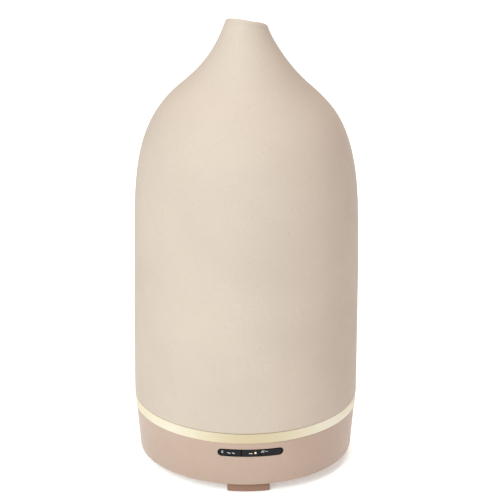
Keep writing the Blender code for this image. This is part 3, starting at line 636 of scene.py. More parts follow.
def pill_outline(x_low, x_high, half_h, middle_z, grow=0.0, round_low=True, round_high=True, corner=0.4):
    """Outline of a bar seen from the front, from the middle of its right end, half-round where asked."""
    x_low, x_high, half_h = x_low - grow, x_high + grow, half_h + grow
    upper = [(x_high, 0.0)]
    right, left = (half_h if end else corner for end in (round_high, round_low))
    quarter = [radians(90) * k / 9 for k in range(1, 10)]
    upper += [(x_high - right + right * cos(a), half_h - right + right * sin(a)) for a in quarter]
    start, end = x_high - right, x_low + left
    upper += [(start + (end - start) * k / 48, half_h) for k in range(1, 49)]
    upper += [(x_low + left - left * sin(a), half_h - left + left * cos(a)) for a in quarter[:-1]]
    upper.append((x_low, 0.0))
    lower = [(x, -z) for x, z in upper[-2:0:-1]]
    return [(x, middle_z + z) for x, z in upper + lower]


def bridge(shape, rings):
    """Join each ring of points to the next with a band of four-sided faces."""
    count = len(rings[0])
    for a, b in zip(rings, rings[1:]):
        for i in range(count):
            j = (i + 1) % count
            shape.faces.new((a[i], a[j], b[j], b[i]))


def flat_caps(shape, rings):
    for ring in (rings[0], rings[-1]):
        bmesh.ops.triangulate(shape, faces=[shape.faces.new(ring)])


def front_loft(layers):
    """A closed solid through layers, each an (outline, reach) with the same number of points.

    A reach of one number in a tuple keeps the layer flat at y = -reach. Otherwise the layer bends round
    the vertical axis, and the reach is its radius, or a function that gives the radius at a height.
    """
    shape = bmesh.new()
    rings = []
    for outline, reach in layers:
        flat = isinstance(reach, tuple)
        ring = []
        for x, z in outline:
            radius = reach(z) if callable(reach) else reach
            y = -reach[0] if flat else -sqrt(radius * radius - x * x)
            ring.append(shape.verts.new((x, y, z)))
        rings.append(ring)
    bridge(shape, rings)
    for ring in (rings[0], rings[-1]):
        strip_cap(shape, ring)
    face_outwards(shape)
    return shape


def strip_cap(shape, ring):
    """Close a ring that starts in the middle of its right end with upright strips."""
    count = len(ring)
    for i in range(count // 2):
        corners = dict.fromkeys((ring[i], ring[i + 1], ring[count - i - 1], ring[-i % count]))
        shape.faces.new(list(corners))


def base_housing(look):
    low, high = node_box("base_housing")
    rebate = node_box("bottom_plate")[1].x + 0.3
    plate_top = 6.6
    outline = [(rebate, low.z), (BASE_BOTTOM_R, low.z), (BASE_TOP_R, high.z), (42.6, high.z), (42.6, 20.7),
               (38.3, 20.7), (38.3, 19.9), (41.9, 19.9), (40.8, plate_top), (rebate, plate_top)]
    shape = turned_mesh(fillet(outline, {0: 0.2, 1: 0.9, 2: 0.3, 3: 0.2}), FINE)
    item = piece("base_housing_shell", shape, look, "base", stands_for=["base_housing"])
    panel_low, panel_high = node_box("button_bezel")
    middle = (panel_low.z + panel_high.z) / 2
    half_w, half_h = PANEL_HALF_W, (panel_high.z - panel_low.z) / 2
    def ring(grow):
        return pill_outline(-half_w, half_w, half_h, middle, grow)
    opening = front_loft([(ring(1.70), lambda z: wall_r(z) + 2.0), (ring(-0.18), lambda z: wall_r(z) + 0.0),
                          (ring(-0.36), lambda z: wall_r(z) - 0.17)])
    seat = front_loft([(ring(0.12), lambda z: wall_r(z) - 0.15), (ring(0.12), (36.4,))])
    jack_z = node_centre("dc_jack").z
    wall = wall_r(jack_z)
    jack = lathe_y([(0, 47.0), (6.8, 47.0), (4.75, wall - 0.15), (4.45, wall - 0.6), (4.45, 37.5), (0, 37.5)],
                   (0.0, jack_z), 48)
    notch = arc_block(37.0, 42.2, 270, 24, 19.0, 21.5)
    carve(item, [blank(opening), blank(seat), blank(jack), blank(notch)])


def lathe_y(outline, centre, sides):
    """A (radius, y) outline turned about an axis along Y at (x, z)."""
    shape = turned_mesh(outline, sides)
    for vert in shape.verts:
        x, y, along = vert.co
        vert.co = (centre[0] + x, along, centre[1] + y)
    face_outwards(shape)
    return shape


def arc_points(inner, outer, middle_deg, half_deg, corner=0.0, steps=24):
    """Plan outline of a ring segment, its corners rounded."""
    spread = [radians(middle_deg - half_deg + 2 * half_deg * k / steps) for k in range(steps + 1)]
    points = [(outer * cos(a), outer * sin(a)) for a in spread] + [(inner * cos(a), inner * sin(a))
                                                                   for a in reversed(spread)]
    if corner:
        sharp_ones = {0, steps, steps + 1, 2 * steps + 1}
        return [tuple(p) for p in round_ends(points, sharp_ones, corner)]
    return points


def round_ends(points, corners, radius, steps=5):
    """Round the named corners of a densely drawn outline."""
    found = []
    count = len(points)
    for i, p in enumerate(points):
        p = Vector(p)
        if any(0 < (p - Vector(points[c])).length < radius for c in corners):
            continue
        if i not in corners:
            found.append(p)
            continue
        before, after = Vector(points[i - 1]) - p, Vector(points[(i + 1) % count]) - p
        start, end = p + before.normalized() * radius, p + after.normalized() * radius
        found += [start * (1 - t) ** 2 + p * 2 * t * (1 - t) + end * t * t
                  for t in (k / steps for k in range(steps + 1))]
    return found


def slab(outline, levels):
    """A solid with the same plan outline, shrunk by an amount at each (z, shrink) level."""
    shape = bmesh.new()
    count = len(outline)
    points = [Vector(p) for p in outline]
    normals = []
    for i, p in enumerate(points):
        along = points[(i + 1) % count] - points[i - 1]
        normals.append(Vector((-along.y, along.x)).normalized())
    rings = [[shape.verts.new(((p + n * shrink).x, (p + n * shrink).y, z)) for p, n in zip(points, normals)]
             for z, shrink in levels]
    bridge(shape, rings)
    flat_caps(shape, rings)
    face_outwards(shape)
    return shape


def arc_block(inner, outer, middle_deg, half_deg, low, high):
    return slab(arc_points(inner, outer, middle_deg, half_deg), [(low, 0), (high, 0)])


def rounded_levels(low, high, radius, steps=4):
    """(z, shrink) levels of a slab whose lower and upper edges are rounded."""
    turn = [radians(90) * k / steps for k in range(steps + 1)]
    lower = [(low + radius * (1 - sin(a)), radius * (1 - cos(a))) for a in reversed(turn)]
    return lower + [(low + high - z, shrink) for z, shrink in reversed(lower)]


def feet(look):
    for name in ("foot_front", "foot_right", "foot_left"):
        low, high = node_box(name)
        middle = node_centre(name)
        angle = degrees(atan2(middle.y, middle.x))
        shape = slab(arc_points(33.0, 40.4, round(angle), 12.4, 1.0), rounded_levels(low.z, high.z, 0.35))
        piece(name + "_pad", shape, look, "base", stands_for=[name])


# ---------------------------------------------------------------- key panel

PANEL_DEPTH = 0.2      # how far the panel's face lies inside the wall's
KEY_DEPTH = 0.12       # and the keys'
LEGEND_RISE = 0.035    # how far a mark stands out of its key
LEGEND_ROOT = 0.05     # and how far it reaches in


def panel_face(depth):
    return lambda z: wall_r(z) - depth


def button_bezel(look):
    low, high = node_box("button_bezel")
    middle, half_h, half_w = (low.z + high.z) / 2, (high.z - low.z) / 2, PANEL_HALF_W
    def ring(grow):
        return pill_outline(-half_w, half_w, half_h, middle, grow)
    shape = front_loft([(ring(-0.2), panel_face(PANEL_DEPTH)), (ring(-0.06), panel_face(PANEL_DEPTH + 0.05)),
                        (ring(0.0), panel_face(PANEL_DEPTH + 0.2)), (ring(0.0), (38.0,))])
    item = piece("button_bezel_frame", shape, look, "base", stands_for=["button_bezel"])
    tools = []
    for side, name in ((-1, "mist_button"), (1, "light_button")):
        key_low, key_high = node_box(name)
        window = pill_outline(key_low.x - 0.25, key_high.x + 0.25, 1.66, middle, 0.0, side < 0, side > 0, 0.5)
        tools.append(blank(front_loft([(window, 48.0), (window, (37.0,))])))
    lens = node_centre("indicator_lens")
    tools.append(blank(lathe_y([(0, -48.0), (0.55, -48.0), (0.55, -37.0), (0, -37.0)], (lens.x, lens.z), 24)))
    carve(item, tools)


def key_cap(name, body, side, look):
    low, high = node_box(name)
    middle = (low.z + high.z) / 2
    def ring(grow):
        return pill_outline(low.x, high.x, 1.4, middle, grow, side < 0, side > 0, 0.4)
    shape = front_loft([(ring(-0.5), panel_face(KEY_DEPTH)), (ring(-0.25), panel_face(KEY_DEPTH + 0.03)),
                        (ring(-0.08), panel_face(KEY_DEPTH + 0.12)), (ring(0.0), panel_face(KEY_DEPTH + 0.3)),
                        (ring(0.0), (37.7,)), (ring(0.45), (37.7,)), (ring(0.45), (37.2,))])
    piece(name + "_cap", shape, look, body, stands_for=[name])
    return middle


def legend(name, body, strokes, look, depth=KEY_DEPTH):
    """Fine raised marks on a key: each stroke is a list of (x, z) points with a width."""
    shape = bmesh.new()
    for points, width in strokes:
        points = [Vector(p) for p in points]
        rows = []
        for i, p in enumerate(points):
            along = points[min(i + 1, len(points) - 1)] - points[max(i - 1, 0)]
            across = Vector((-along.y, along.x)).normalized() * width / 2
            corners = []
            for spot, rise in ((p + across, LEGEND_RISE), (p - across, LEGEND_RISE),
                               (p - across, -LEGEND_ROOT), (p + across, -LEGEND_ROOT)):
                reach = wall_r(spot.y) - depth + rise
                corners.append(shape.verts.new((spot.x, -sqrt(reach * reach - spot.x * spot.x), spot.y)))
            rows.append(corners)
        bridge(shape, rows)
        shape.faces.new(rows[0])
        shape.faces.new(rows[-1])
    face_outwards(shape)
    piece(name, shape, look, body)


def wave(x, z, length, height, turns=1.0, steps=14):
    return [(x + length * k / steps, z + height * sin(2 * pi * turns * k / steps)) for k in range(steps + 1)]


def drop_shape(x, z, size, steps=18):
    """A closed drop, point upwards."""
    found = []
    for k in range(steps + 1):
        a = 2 * pi * k / steps
        narrow = 0.5 * (1 - cos(a))
        found.append((x + size * 0.62 * sin(a) * narrow ** 0.6, z + size * cos(a) * 0.9))
    return found


def ring_shape(x, z, radius, steps=16):
    turns = [2 * pi * k / steps for k in range(steps + 1)]
    return [(x + radius * cos(a), z + radius * sin(a)) for a in turns]


def key_panel(looks):
    button_bezel(looks["black_panel"])
    z = key_cap("mist_button", "mist_key", -1, looks["black_panel"])
    key_cap("light_button", "light_key", 1, looks["black_panel"])
    white = looks["legend_white"]
    legend("mist_button_legend", "mist_key",
           [(drop_shape(-11.2, z + 0.35, 0.55), 0.14), (wave(-9.2, z - 0.05, 1.2, 0.12), 0.26),
            (wave(-7.3, z - 0.05, 0.9, 0.12), 0.26)], white)
    rays = [([(4.9 + reach * cos(a), z + 0.45 + reach * sin(a)) for reach in (0.5, 0.78)], 0.12)
            for a in (radians(d) for d in range(0, 181, 45))]
    legend("light_button_legend", "light_key",
           [(ring_shape(4.9, z + 0.45, 0.30), 0.14), (wave(3.3 + 0.6, z + 0.35, 0.5, 0.06), 0.2),
            (wave(5.9, z + 0.5, 0.8, 0.06), 0.2)] + rays, white)
    legend("panel_legend", "base", [([(-0.7, z - 0.2), (0.7, z - 0.2)], 0.3)], white, PANEL_DEPTH)
    lens = node_centre("indicator_lens")
    face = wall_r(lens.z) - PANEL_DEPTH + 0.08
    shape = lathe_y([(0, -face - 0.10), (0.25, -face - 0.07), (0.38, -face), (0.45, -face + 0.12),
                     (0.45, -37.6), (0, -37.6)], (lens.x, lens.z), 24)
    piece("indicator_lens_dome", shape, looks["amber_lens"], "base", stands_for=["indicator_lens"])


# ---------------------------------------------------------------- underside and rear inlet

def bottom_plate(look):
    low, high = node_box("bottom_plate")
    edge, top = high.x, 6.3
    under = low.z
    shape = turned_mesh(fillet([(0, under), (edge, under), (edge, top), (0, top)], {1: 0.4, 2: 0.2}), FINE)
    item = piece("bottom_plate_tray", shape, look, "base", stands_for=["bottom_plate"])
    screws = [node_centre(f"case_screw_{i}") for i in (1, 2, 3, 4)]
    raised = [cylinder_mesh(4.2, 5.5, top + 1.5, place.xy, 32) for place in screws]
    board_under = node_box("control_board")[0].z
    fan_low, fan_high = node_box("fan_housing")
    stands = [(4.0, 12.5), (31.0, -12.5), (4.0, -12.5), (31.0, 12.5)]
    raised += [cylinder_mesh(2.3, 5.5, board_under - 0.3, place, 24) for place in stands]
    fan = (fan_low + fan_high) / 2
    pads = [(fan.x + x, fan.y + y) for x in (-12, 12) for y in (-12, 12)]
    raised += [cylinder_mesh(2.4, 5.5, fan_low.z - 0.3, place, 24) for place in pads]
    raised += [box_mesh((x - 1.8, -35.4, 5.5), (x + 1.8, -31.4, 14.0)) for x in (-14.6, 14.6)]
    carve(item, [blank(shape) for shape in raised], "UNION")
    tools = [cylinder_mesh(2.8, 3.0, top + 0.1, place.xy, 32) for place in screws]
    tools += [cylinder_mesh(3.2, 3.0, under + 0.25, place.xy, 32) for place in screws]
    tools += [cylinder_mesh(1.5, 5.0, 9.0, place.xy, 24) for place in screws]
    tools += [cylinder_mesh(1.3, 5.0, 9.0, place, 16)
              for place in stands[:2] + [(fan.x - 12, fan.y - 12), (fan.x + 12, fan.y + 12)]]
    tools += [box_mesh((x - 1.2, -34.2, top + 0.4), (x + 1.2, -32.6, 15.0)) for x in (-13.2, 13.2)]
    for i in range(6):
        x = fan.x - 10 + 4 * i
        tools.append(slot_mesh(x, fan.y, 1.0, 9.0, 3.0, 7.0))
    for name in ("foot_front", "foot_right", "foot_left"):
        middle = node_centre(name)
        angle = round(degrees(atan2(middle.y, middle.x)))
        tools.append(slab(arc_points(32.75, 40.65, angle, 12.7, 1.1), [(3.0, 0), (under + 0.8, 0)]))
    carve(item, [blank(shape) for shape in tools])


def box_mesh(low, high):
    outline = [(low[0], low[1]), (high[0], low[1]), (high[0], high[1]), (low[0], high[1])]
    return slab(outline, [(low[2], 0), (high[2], 0)])


def slot_mesh(x, y, half_w, half_l, low, high):
    """An upright slot cutter with round ends."""
    outline = []
    for k in range(9):
        a = pi * k / 8
        outline.append((x + half_w * cos(a), y + half_l - half_w + half_w * sin(a)))
    outline += [(2 * x - px, 2 * y - py) for px, py in outline]
    return slab(outline, [(low, 0), (high, 0)])


def dc_jack(dark, metal):
    low, high = node_box("dc_jack")
    z = (low.z + high.z) / 2
    nose = lathe_y(fillet([(2.75, 34.0), (2.75, high.y), (4.2, high.y), (4.2, 35.0), (3.6, 33.8)],
                          {1: 0.35, 2: 0.25, 3: 0.2}), (0.0, z), 48)
    piece("dc_jack_inlet", nose, dark, "base", stands_for=["dc_jack"])
    half_w, half_h = 4.6, 4.5
    body = slab([(-half_w, z - half_h), (half_w, z - half_h), (half_w, z + half_h), (-half_w, z + half_h)],
                [(29.0, 0.0), (40.1, 0.0)])
    for vert in body.verts:
        x, zz, y = vert.co
        vert.co = (x, y, zz)
    face_outwards(body)
    bore = lathe_y([(0, 33.0), (3.4, 33.0), (3.4, 41.0), (0, 41.0)], (0.0, z), 32)
    shell = piece("dc_jack_body", body, dark, "base")
    carve(shell, [blank(bore)])
    sleeve = lathe_y([(2.45, 34.6), (2.74, 34.6), (2.74, high.y - 0.9), (2.45, high.y - 0.9)], (0.0, z), 48)
    piece("dc_jack_sleeve", sleeve, metal, "base")
    pin_end = high.y - 1.2
    pin = lathe_y([(0, 33.2), (1.0, 33.2), (1.0, pin_end - 0.5), (0.85, pin_end - 0.15), (0.5, pin_end),
                   (0, pin_end)], (0.0, z), 32)
    piece("dc_jack_pin", pin, metal, "base")


# ---------------------------------------------------------------- lid and tank

FILL_HEIGHT = 52.0        # where the tank's fill line is
LID_RIBS = 72
RIB_DEPTH = 0.28


def ribbed(shape, low, high, inner_r, depth, count):
    """Draw shallow upright grip ribs into the outside of a turned skirt."""
    for vert in shape.verts:
        flat = vert.co.xy
        if low < vert.co.z < high and flat.length > inner_r:
            angle = atan2(flat.y, flat.x)
            groove = max(0.0, cos(count * angle)) ** 0.7
            flat -= flat.normalized() * depth * groove
            vert.co.x, vert.co.y = flat


def inner_lid(look):
    low, high = node_box("inner_lid")
    seat = 62.3
    skirt = [(35.4, low.z), (36.9, low.z), (36.95, low.z + 0.6), (36.97, low.z + 1.2), (37.0, 63.0),
             (37.0, 64.0)]
    dome = [(35.4, 67.2), (28.0, 73.0), (19.0, 78.2), (13.6, 81.6), (12.2, 84.0), (12.2, high.z),
            (9.9, high.z), (9.9, 83.2), (18.2, 76.6), (27.2, 71.4), (34.0, 66.2), (34.6, seat), (35.4, seat)]
    radii = {1: 0.3, 5: 1.6, 6: 4.0, 7: 12.0, 8: 14.0, 9: 3.0, 10: 2.0, 11: 0.3, 12: 0.3, 13: 1.0, 14: 6.0,
             15: 9.0, 16: 3.0}
    shape = turned_mesh(fillet(skirt + dome, radii, 6), LID_RIBS * 8)
    ribbed(shape, low.z + 0.9, 63.6, 36.2, RIB_DEPTH, LID_RIBS)
    piece("inner_lid_dome", shape, look, "lid", stands_for=["inner_lid"])


def mist_chimney(look):
    low, high = node_box("mist_chimney")
    seat = 86.3
    outline = [(8.0, low.z), (9.5, low.z), (9.5, seat), (11.6, seat), (11.6, seat + 1.0), (9.7, seat + 2.0),
               (9.3, high.z), (8.0, high.z)]
    shape = turned_mesh(fillet(outline, {0: 0.2, 1: 0.3, 3: 0.25, 4: 0.4, 5: 1.0, 6: 0.5, 7: 0.5}, 6), MEDIUM)
    piece("mist_chimney_tube", shape, look, "lid", stands_for=["mist_chimney"])


def splash_guard(look):
    cone = turned_mesh(fillet([(0, 70.0), (9.0, 66.4), (10.4, 66.4), (10.4, 67.4), (1.2, 71.6), (0, 71.6)],
                              {1: 0.8, 2: 0.3, 3: 0.3, 4: 1.2}), 64)
    item = piece("splash_guard_cone", cone, look, "lid", stands_for=["splash_guard"])
    ring = turned_mesh(fillet([(12.2, 75.6), (14.6, 75.6), (13.8, 77.4), (12.2, 78.6)], 0.3, 3), 64)
    legs = [slab(arc_points(9.2, 13.6, 90 + 120 * i, 7, 0.5), [(66.8, 0), (76.6, 0)]) for i in range(3)]
    carve(item, [blank(shape) for shape in [ring] + legs], "UNION")


def water_tank(look):
    rim = node_box("water_tank")[1].z
    outer, inner = 35.0, 33.0
    flange = node_box("ring_gasket")[1].z + 0.3
    outline = [(8.0, 21.9), (11.5, 21.9), (11.5, 19.2), (18.3, 19.2), (18.3, 22.0), (outer, 22.0),
               (outer, flange), (41.0, flange), (41.0, flange + 1.5), (outer, flange + 1.5), (outer, rim),
               (inner, rim), (inner, 26.0), (30.0, 24.0), (13.5, 24.0), (12.5, 23.4), (8.0, 23.4)]
    radii = {1: 0.0, 3: 0.3, 5: 0.5, 7: 0.3, 8: 0.4, 9: 0.6, 10: 0.5, 11: 0.5, 12: 3.0, 13: 3.0, 14: 0.6,
             16: 0.4}
    shape = turned_mesh(fillet(outline, radii, 6), FINE)
    item = piece("water_tank_vessel", shape, look, "base", stands_for=["water_tank"])
    duct = axis_of("air_duct")
    posts = [node_centre(f"case_screw_{i}").xy for i in (1, 2, 3, 4)]
    added = [blank(cylinder_mesh(2.9, 8.1, 23.0, place, 32)) for place in posts]
    added += [blank(level_mark(inner, FILL_HEIGHT, angle)) for angle in (-90, 30, 150)]
    carve(item, added, "UNION")
    tools = [cylinder_mesh(5.3, 20.0, 30.0, duct, 48)]
    tools += [cylinder_mesh(1.5, 7.0, 15.0, place, 24) for place in posts]
    tools += [cylinder_mesh(1.3, 18.6, 22.6, axis_of(f"retainer_screw_{i}"), 24) for i in (1, 2, 3)]
    carve(item, [blank(shape) for shape in tools])


def level_mark(radius, z, middle_deg):
    """The fill line: a thin raised dash round part of the tank's inside."""
    return slab(arc_points(radius - 0.35, radius + 0.4, middle_deg, 14), [(z - 0.3, 0), (z + 0.3, 0)])


def air_duct(look):
    low, high = node_box("air_duct")
    place = axis_of("air_duct")
    outline = [(4.0, low.z), (5.0, low.z), (5.0, 24.3), (5.9, 24.3), (5.9, 25.2), (5.0, 26.0), (5.0, high.z),
               (4.0, high.z)]
    shape = turned_mesh(fillet(outline, {3: 0.25, 4: 0.4, 5: 0.8, 6: 0.4, 7: 0.3}), 64, place)
    piece("air_duct_tube", shape, look, "base", stands_for=["air_duct"])
    hood = [(0, 57.6), (6.2, 57.6), (6.2, 53.0), (5.5, 53.0), (5.5, 55.2), (4.6, 55.2), (4.6, 54.3),
            (3.9, 54.3), (3.9, 56.4), (0, 56.4)]
    cap = turned_mesh(fillet(hood, {1: 0.9, 2: 0.3, 3: 0.3}), 64, place)
    item = piece("air_duct_cap_hood", cap, look, "base", stands_for=["air_duct_cap"])
    window = box_mesh((place.x + 1.0, place.y - 2.2, 52.0), (place.x + 9.0, place.y + 2.2, 56.0))
    carve(item, [blank(window)])


def transducer(brass, seal, metal):
    low, high = node_box("transducer_disc")
    outline = [(0, low.z), (10.0, low.z), (10.0, high.z), (7.4, high.z), (6.2, high.z - 0.12),
               (2.6, high.z - 0.12), (2.1, high.z - 0.05), (1.0, high.z), (0, high.z)]
    shape = turned_mesh(fillet(outline, {1: 0.15, 2: 0.15, 3: 0.3, 4: 0.3}), 64)
    piece("transducer_disc_plate", shape, brass, "base", stands_for=["transducer_disc"])
    outline = [(8.3, 19.6), (11.2, 19.6), (11.2, 21.6), (8.3, 21.6), (8.3, 21.45), (10.3, 21.45),
               (10.3, 20.2), (8.3, 20.2)]
    shape = turned_mesh(fillet(outline, {0: 0.2, 1: 0.3, 2: 0.3, 3: 0.05}), 64)
    piece("transducer_seal_ring", shape, seal, "base", stands_for=["transducer_seal"])
    plate = turned_mesh(fillet([(7.0, 17.9), (18.0, 17.9), (18.0, 18.9), (7.0, 18.9)], 0.15, 2), 96)
    item = piece("transducer_retainer_plate", plate, metal, "base", stands_for=["transducer_retainer"])
    holes = [axis_of(f"retainer_screw_{i}") for i in (1, 2, 3)]
    carve(item, [blank(cylinder_mesh(1.3, 17.0, 20.0, place, 24)) for place in holes])


# ---------------------------------------------------------------- screws

# kind, how many, head radius, head height
SCREWS = (("retainer", 3, 2.0, 1.3), ("case", 4, 2.4, 1.5), ("board", 2, 1.9, 1.2), ("fan", 2, 2.0, 1.2))
HEAD_DOWN = ("case_screw", "retainer_screw")


def screw(name, head_r, head_h, look):
    """A pan-head screw with a cross recess and a rolled thread."""
    low, high = node_box(name)
    place = axis_of(name)
    down = name.startswith(HEAD_DOWN)
    length = high.z - low.z
    shank_r = {2.4: 1.1}.get(head_r, 1.0)
    outline = [(0, 0), (head_r - 0.35, 0), (head_r - 0.05, 0.25), (head_r, 0.55), (head_r, head_h),
               (shank_r, head_h)]
    pitch = 0.5
    turns = int((length - head_h - 0.6) / pitch)
    for k in range(turns):
        z = head_h + 0.15 + k * pitch
        outline += [(shank_r - 0.16, z), (shank_r, z + pitch / 2)]
    outline += [(shank_r - 0.16, length - 0.45), (shank_r - 0.5, length), (0, length)]
    shape = turned_mesh(outline, 24)
    item = piece(name + "_part", shape, look, "base", stands_for=[name], sharp=40)
    tools = []
    for turn in (0, 1):
        w, l = (0.28, head_r * 0.62) if turn else (head_r * 0.62, 0.28)
        tools.append(blank(box_mesh((-w, -l, -1.0), (w, l, 0.75))))
    carve(item, tools)
    for vert in item.data.vertices:
        z = vert.co.z / MM
        z = low.z + z if down else high.z - z
        y = vert.co.y / MM if down else -vert.co.y / MM
        vert.co = ((vert.co.x / MM + place.x) * MM, (y + place.y) * MM, z * MM)


def all_screws(look):
    for kind, count, head_r, head_h in SCREWS:
        for i in range(count):
            screw(f"{kind}_screw_{i + 1}", head_r, head_h, look)


# ---------------------------------------------------------------- electronics

BOARD_LIFT = 0.1          # parts stand this far above their board
PLUNGER_SHORTER = 0.2     # so that a fully pressed key stops about 0.1 mm short of the stem


def merge(shapes):
    """Gather separate closed shapes in one mesh."""
    joined = shapes[0]
    for extra in shapes[1:]:
        mesh = bpy.data.meshes.new("part")
        extra.to_mesh(mesh)
        extra.free()
        joined.from_mesh(mesh)
        bpy.data.meshes.remove(mesh)
    return joined


def soft_box(low, high, edge=0.15, corner=0.3):
    """A box with rounded upright corners and softened top and bottom edges."""
    outline = fillet([(low[0], low[1]), (high[0], low[1]), (high[0], high[1]), (low[0], high[1])], corner, 3)
    return slab([tuple(p) for p in outline], rounded_levels(low[2], high[2], edge, 3))


def tube(points, radius, sides=16):
    """A round wire along points, its frame carried along without twist and its ends domed."""
    shape = bmesh.new()
    across = (points[1] - points[0]).orthogonal().normalized()
    rings = []
    last = len(points) - 1
    for i, point in enumerate(points):
        along = (points[min(i + 1, last)] - points[max(i - 1, 0)]).normalized()
        across = (across - along * across.dot(along)).normalized()
        other = along.cross(across)
        stations = [(0.0, radius)]
        if i == 0:
            stations = [(0.0, 0.6 * radius), (0.12 * radius, 0.85 * radius), (0.3 * radius, radius)]
        if i == last:
            stations = [(-0.3 * radius, radius), (-0.12 * radius, 0.85 * radius), (0.0, 0.6 * radius)]
        for shift, size in stations:
            turns = [2 * pi * k / sides for k in range(sides)]
            rings.append([shape.verts.new(point + along * shift + (across * cos(a) + other * sin(a)) * size)
                          for a in turns])
    bridge(shape, rings)
    shape.faces.new(rings[0])
    shape.faces.new(rings[-1])
    face_outwards(shape)
    return shape


def smooth_route(points, steps=10):
    """Points of a smooth curve through the points of a route."""
    points = [Vector(p) for p in points]
    ends = [2 * points[0] - points[1]] + points + [2 * points[-1] - points[-2]]
    found = []
    for i in range(1, len(ends) - 2):
        p0, p1, p2, p3 = ends[i - 1:i + 3]
        for k in range(steps):
            t = k / steps
            found.append(0.5 * (2 * p1 + (p2 - p0) * t + (2 * p0 - 5 * p1 + 4 * p2 - p3) * t ** 2
                                + (3 * p1 - p0 - 3 * p2 + p3) * t ** 3))
    return found + [ends[-2]]


def wiring(looks):
    board = node_box("control_board")[1].z + BOARD_LIFT
    plug = board + 3.5
    routes = {
        "transducer_lead": ("red_wire", 0.6, [(-3.0, 0.0, 20.1), (-2.6, -0.6, 18.0), (0.0, -2.6, 16.2),
                                              (3.4, -4.8, 15.9), (5.0, -5.5, plug)]),
        "fan_lead": ("black_wire", 0.6, [(-3.8, 8.5, 11.6), (-2.4, 8.6, 12.8), (0.6, 7.6, 15.0),
                                         (3.4, 6.2, 15.6), (4.5, 5.5, plug)]),
        "led_lead": ("white_wire", 0.6, [(37.9, 3.0, 21.4), (36.5, 3.1, 20.3), (34.6, 3.6, 17.7),
                                         (32.0, 4.2, 16.0), (30.5, 4.5, plug)]),
        "jack_lead": ("black_wire", 0.7, [(1.5, 28.6, 12.5), (3.2, 25.0, 12.8), (7.5, 20.0, 13.4),
                                         (10.4, 14.0, 13.2), (11.0, 11.5, board)]),
        "switch_lead": ("white_wire", 0.6, [(4.0, -32.5, 12.0), (5.0, -29.5, 12.6), (8.0, -21.0, 13.6),
                                            (9.8, -14.0, 13.0), (10.2, -11.0, board)]),
    }
    for name, (look, radius, route) in routes.items():
        piece(name + "_wire", tube(smooth_route(route), radius), looks[look], "base", stands_for=[name])


def boards(looks):
    low, high = node_box("control_board")
    item = piece("control_board_panel", soft_box(low, high, 0.08, 0.8), looks["circuit_board"], "base",
                 stands_for=["control_board"])
    carve(item, [blank(cylinder_mesh(1.3, 7.0, 12.0, axis_of(f"board_screw_{i}"), 32)) for i in (1, 2)])
    low, high = node_box("led_board")
    ring = [(38.4, low.z), (42.1, low.z), (42.1, high.z), (38.4, high.z)]
    piece("led_board_ring", turned_mesh(fillet(ring, 0.08, 2), FINE), looks["circuit_board"], "base",
          stands_for=["led_board"])
    low, high = node_box("switch_board")
    piece("switch_board_panel", soft_box(low, high, 0.08, 0.1), looks["circuit_board"], "base",
          stands_for=["switch_board"])
    for i in range(4):
        low, high = node_box(f"led_{i + 1}")
        outline = arc_points(39.05, 41.35, 45 + 90 * i, 1.9, 0.3, 4)
        shape = slab(outline, rounded_levels(low.z, high.z, 0.22))
        piece(f"led_{i + 1}_package", shape, looks["led_emitter"], "base", stands_for=[f"led_{i + 1}"])


def gull_legs(x_places, y_edge, side, low):
    """Formed legs along one side of a package."""
    profile = [(0.0, 0.0), (0.7, 0.0), (0.7, 0.8), (0.5, 0.8), (0.5, 0.18), (0.0, 0.18)]
    legs = []
    for x in x_places:
        shape = slab(profile, [(x - 0.18, 0), (x + 0.18, 0)])
        for vert in shape.verts:
            y, z, x_now = vert.co
            vert.co = (x_now, y_edge - side * y, low + z)
        face_outwards(shape)
        legs.append(shape)
    return legs


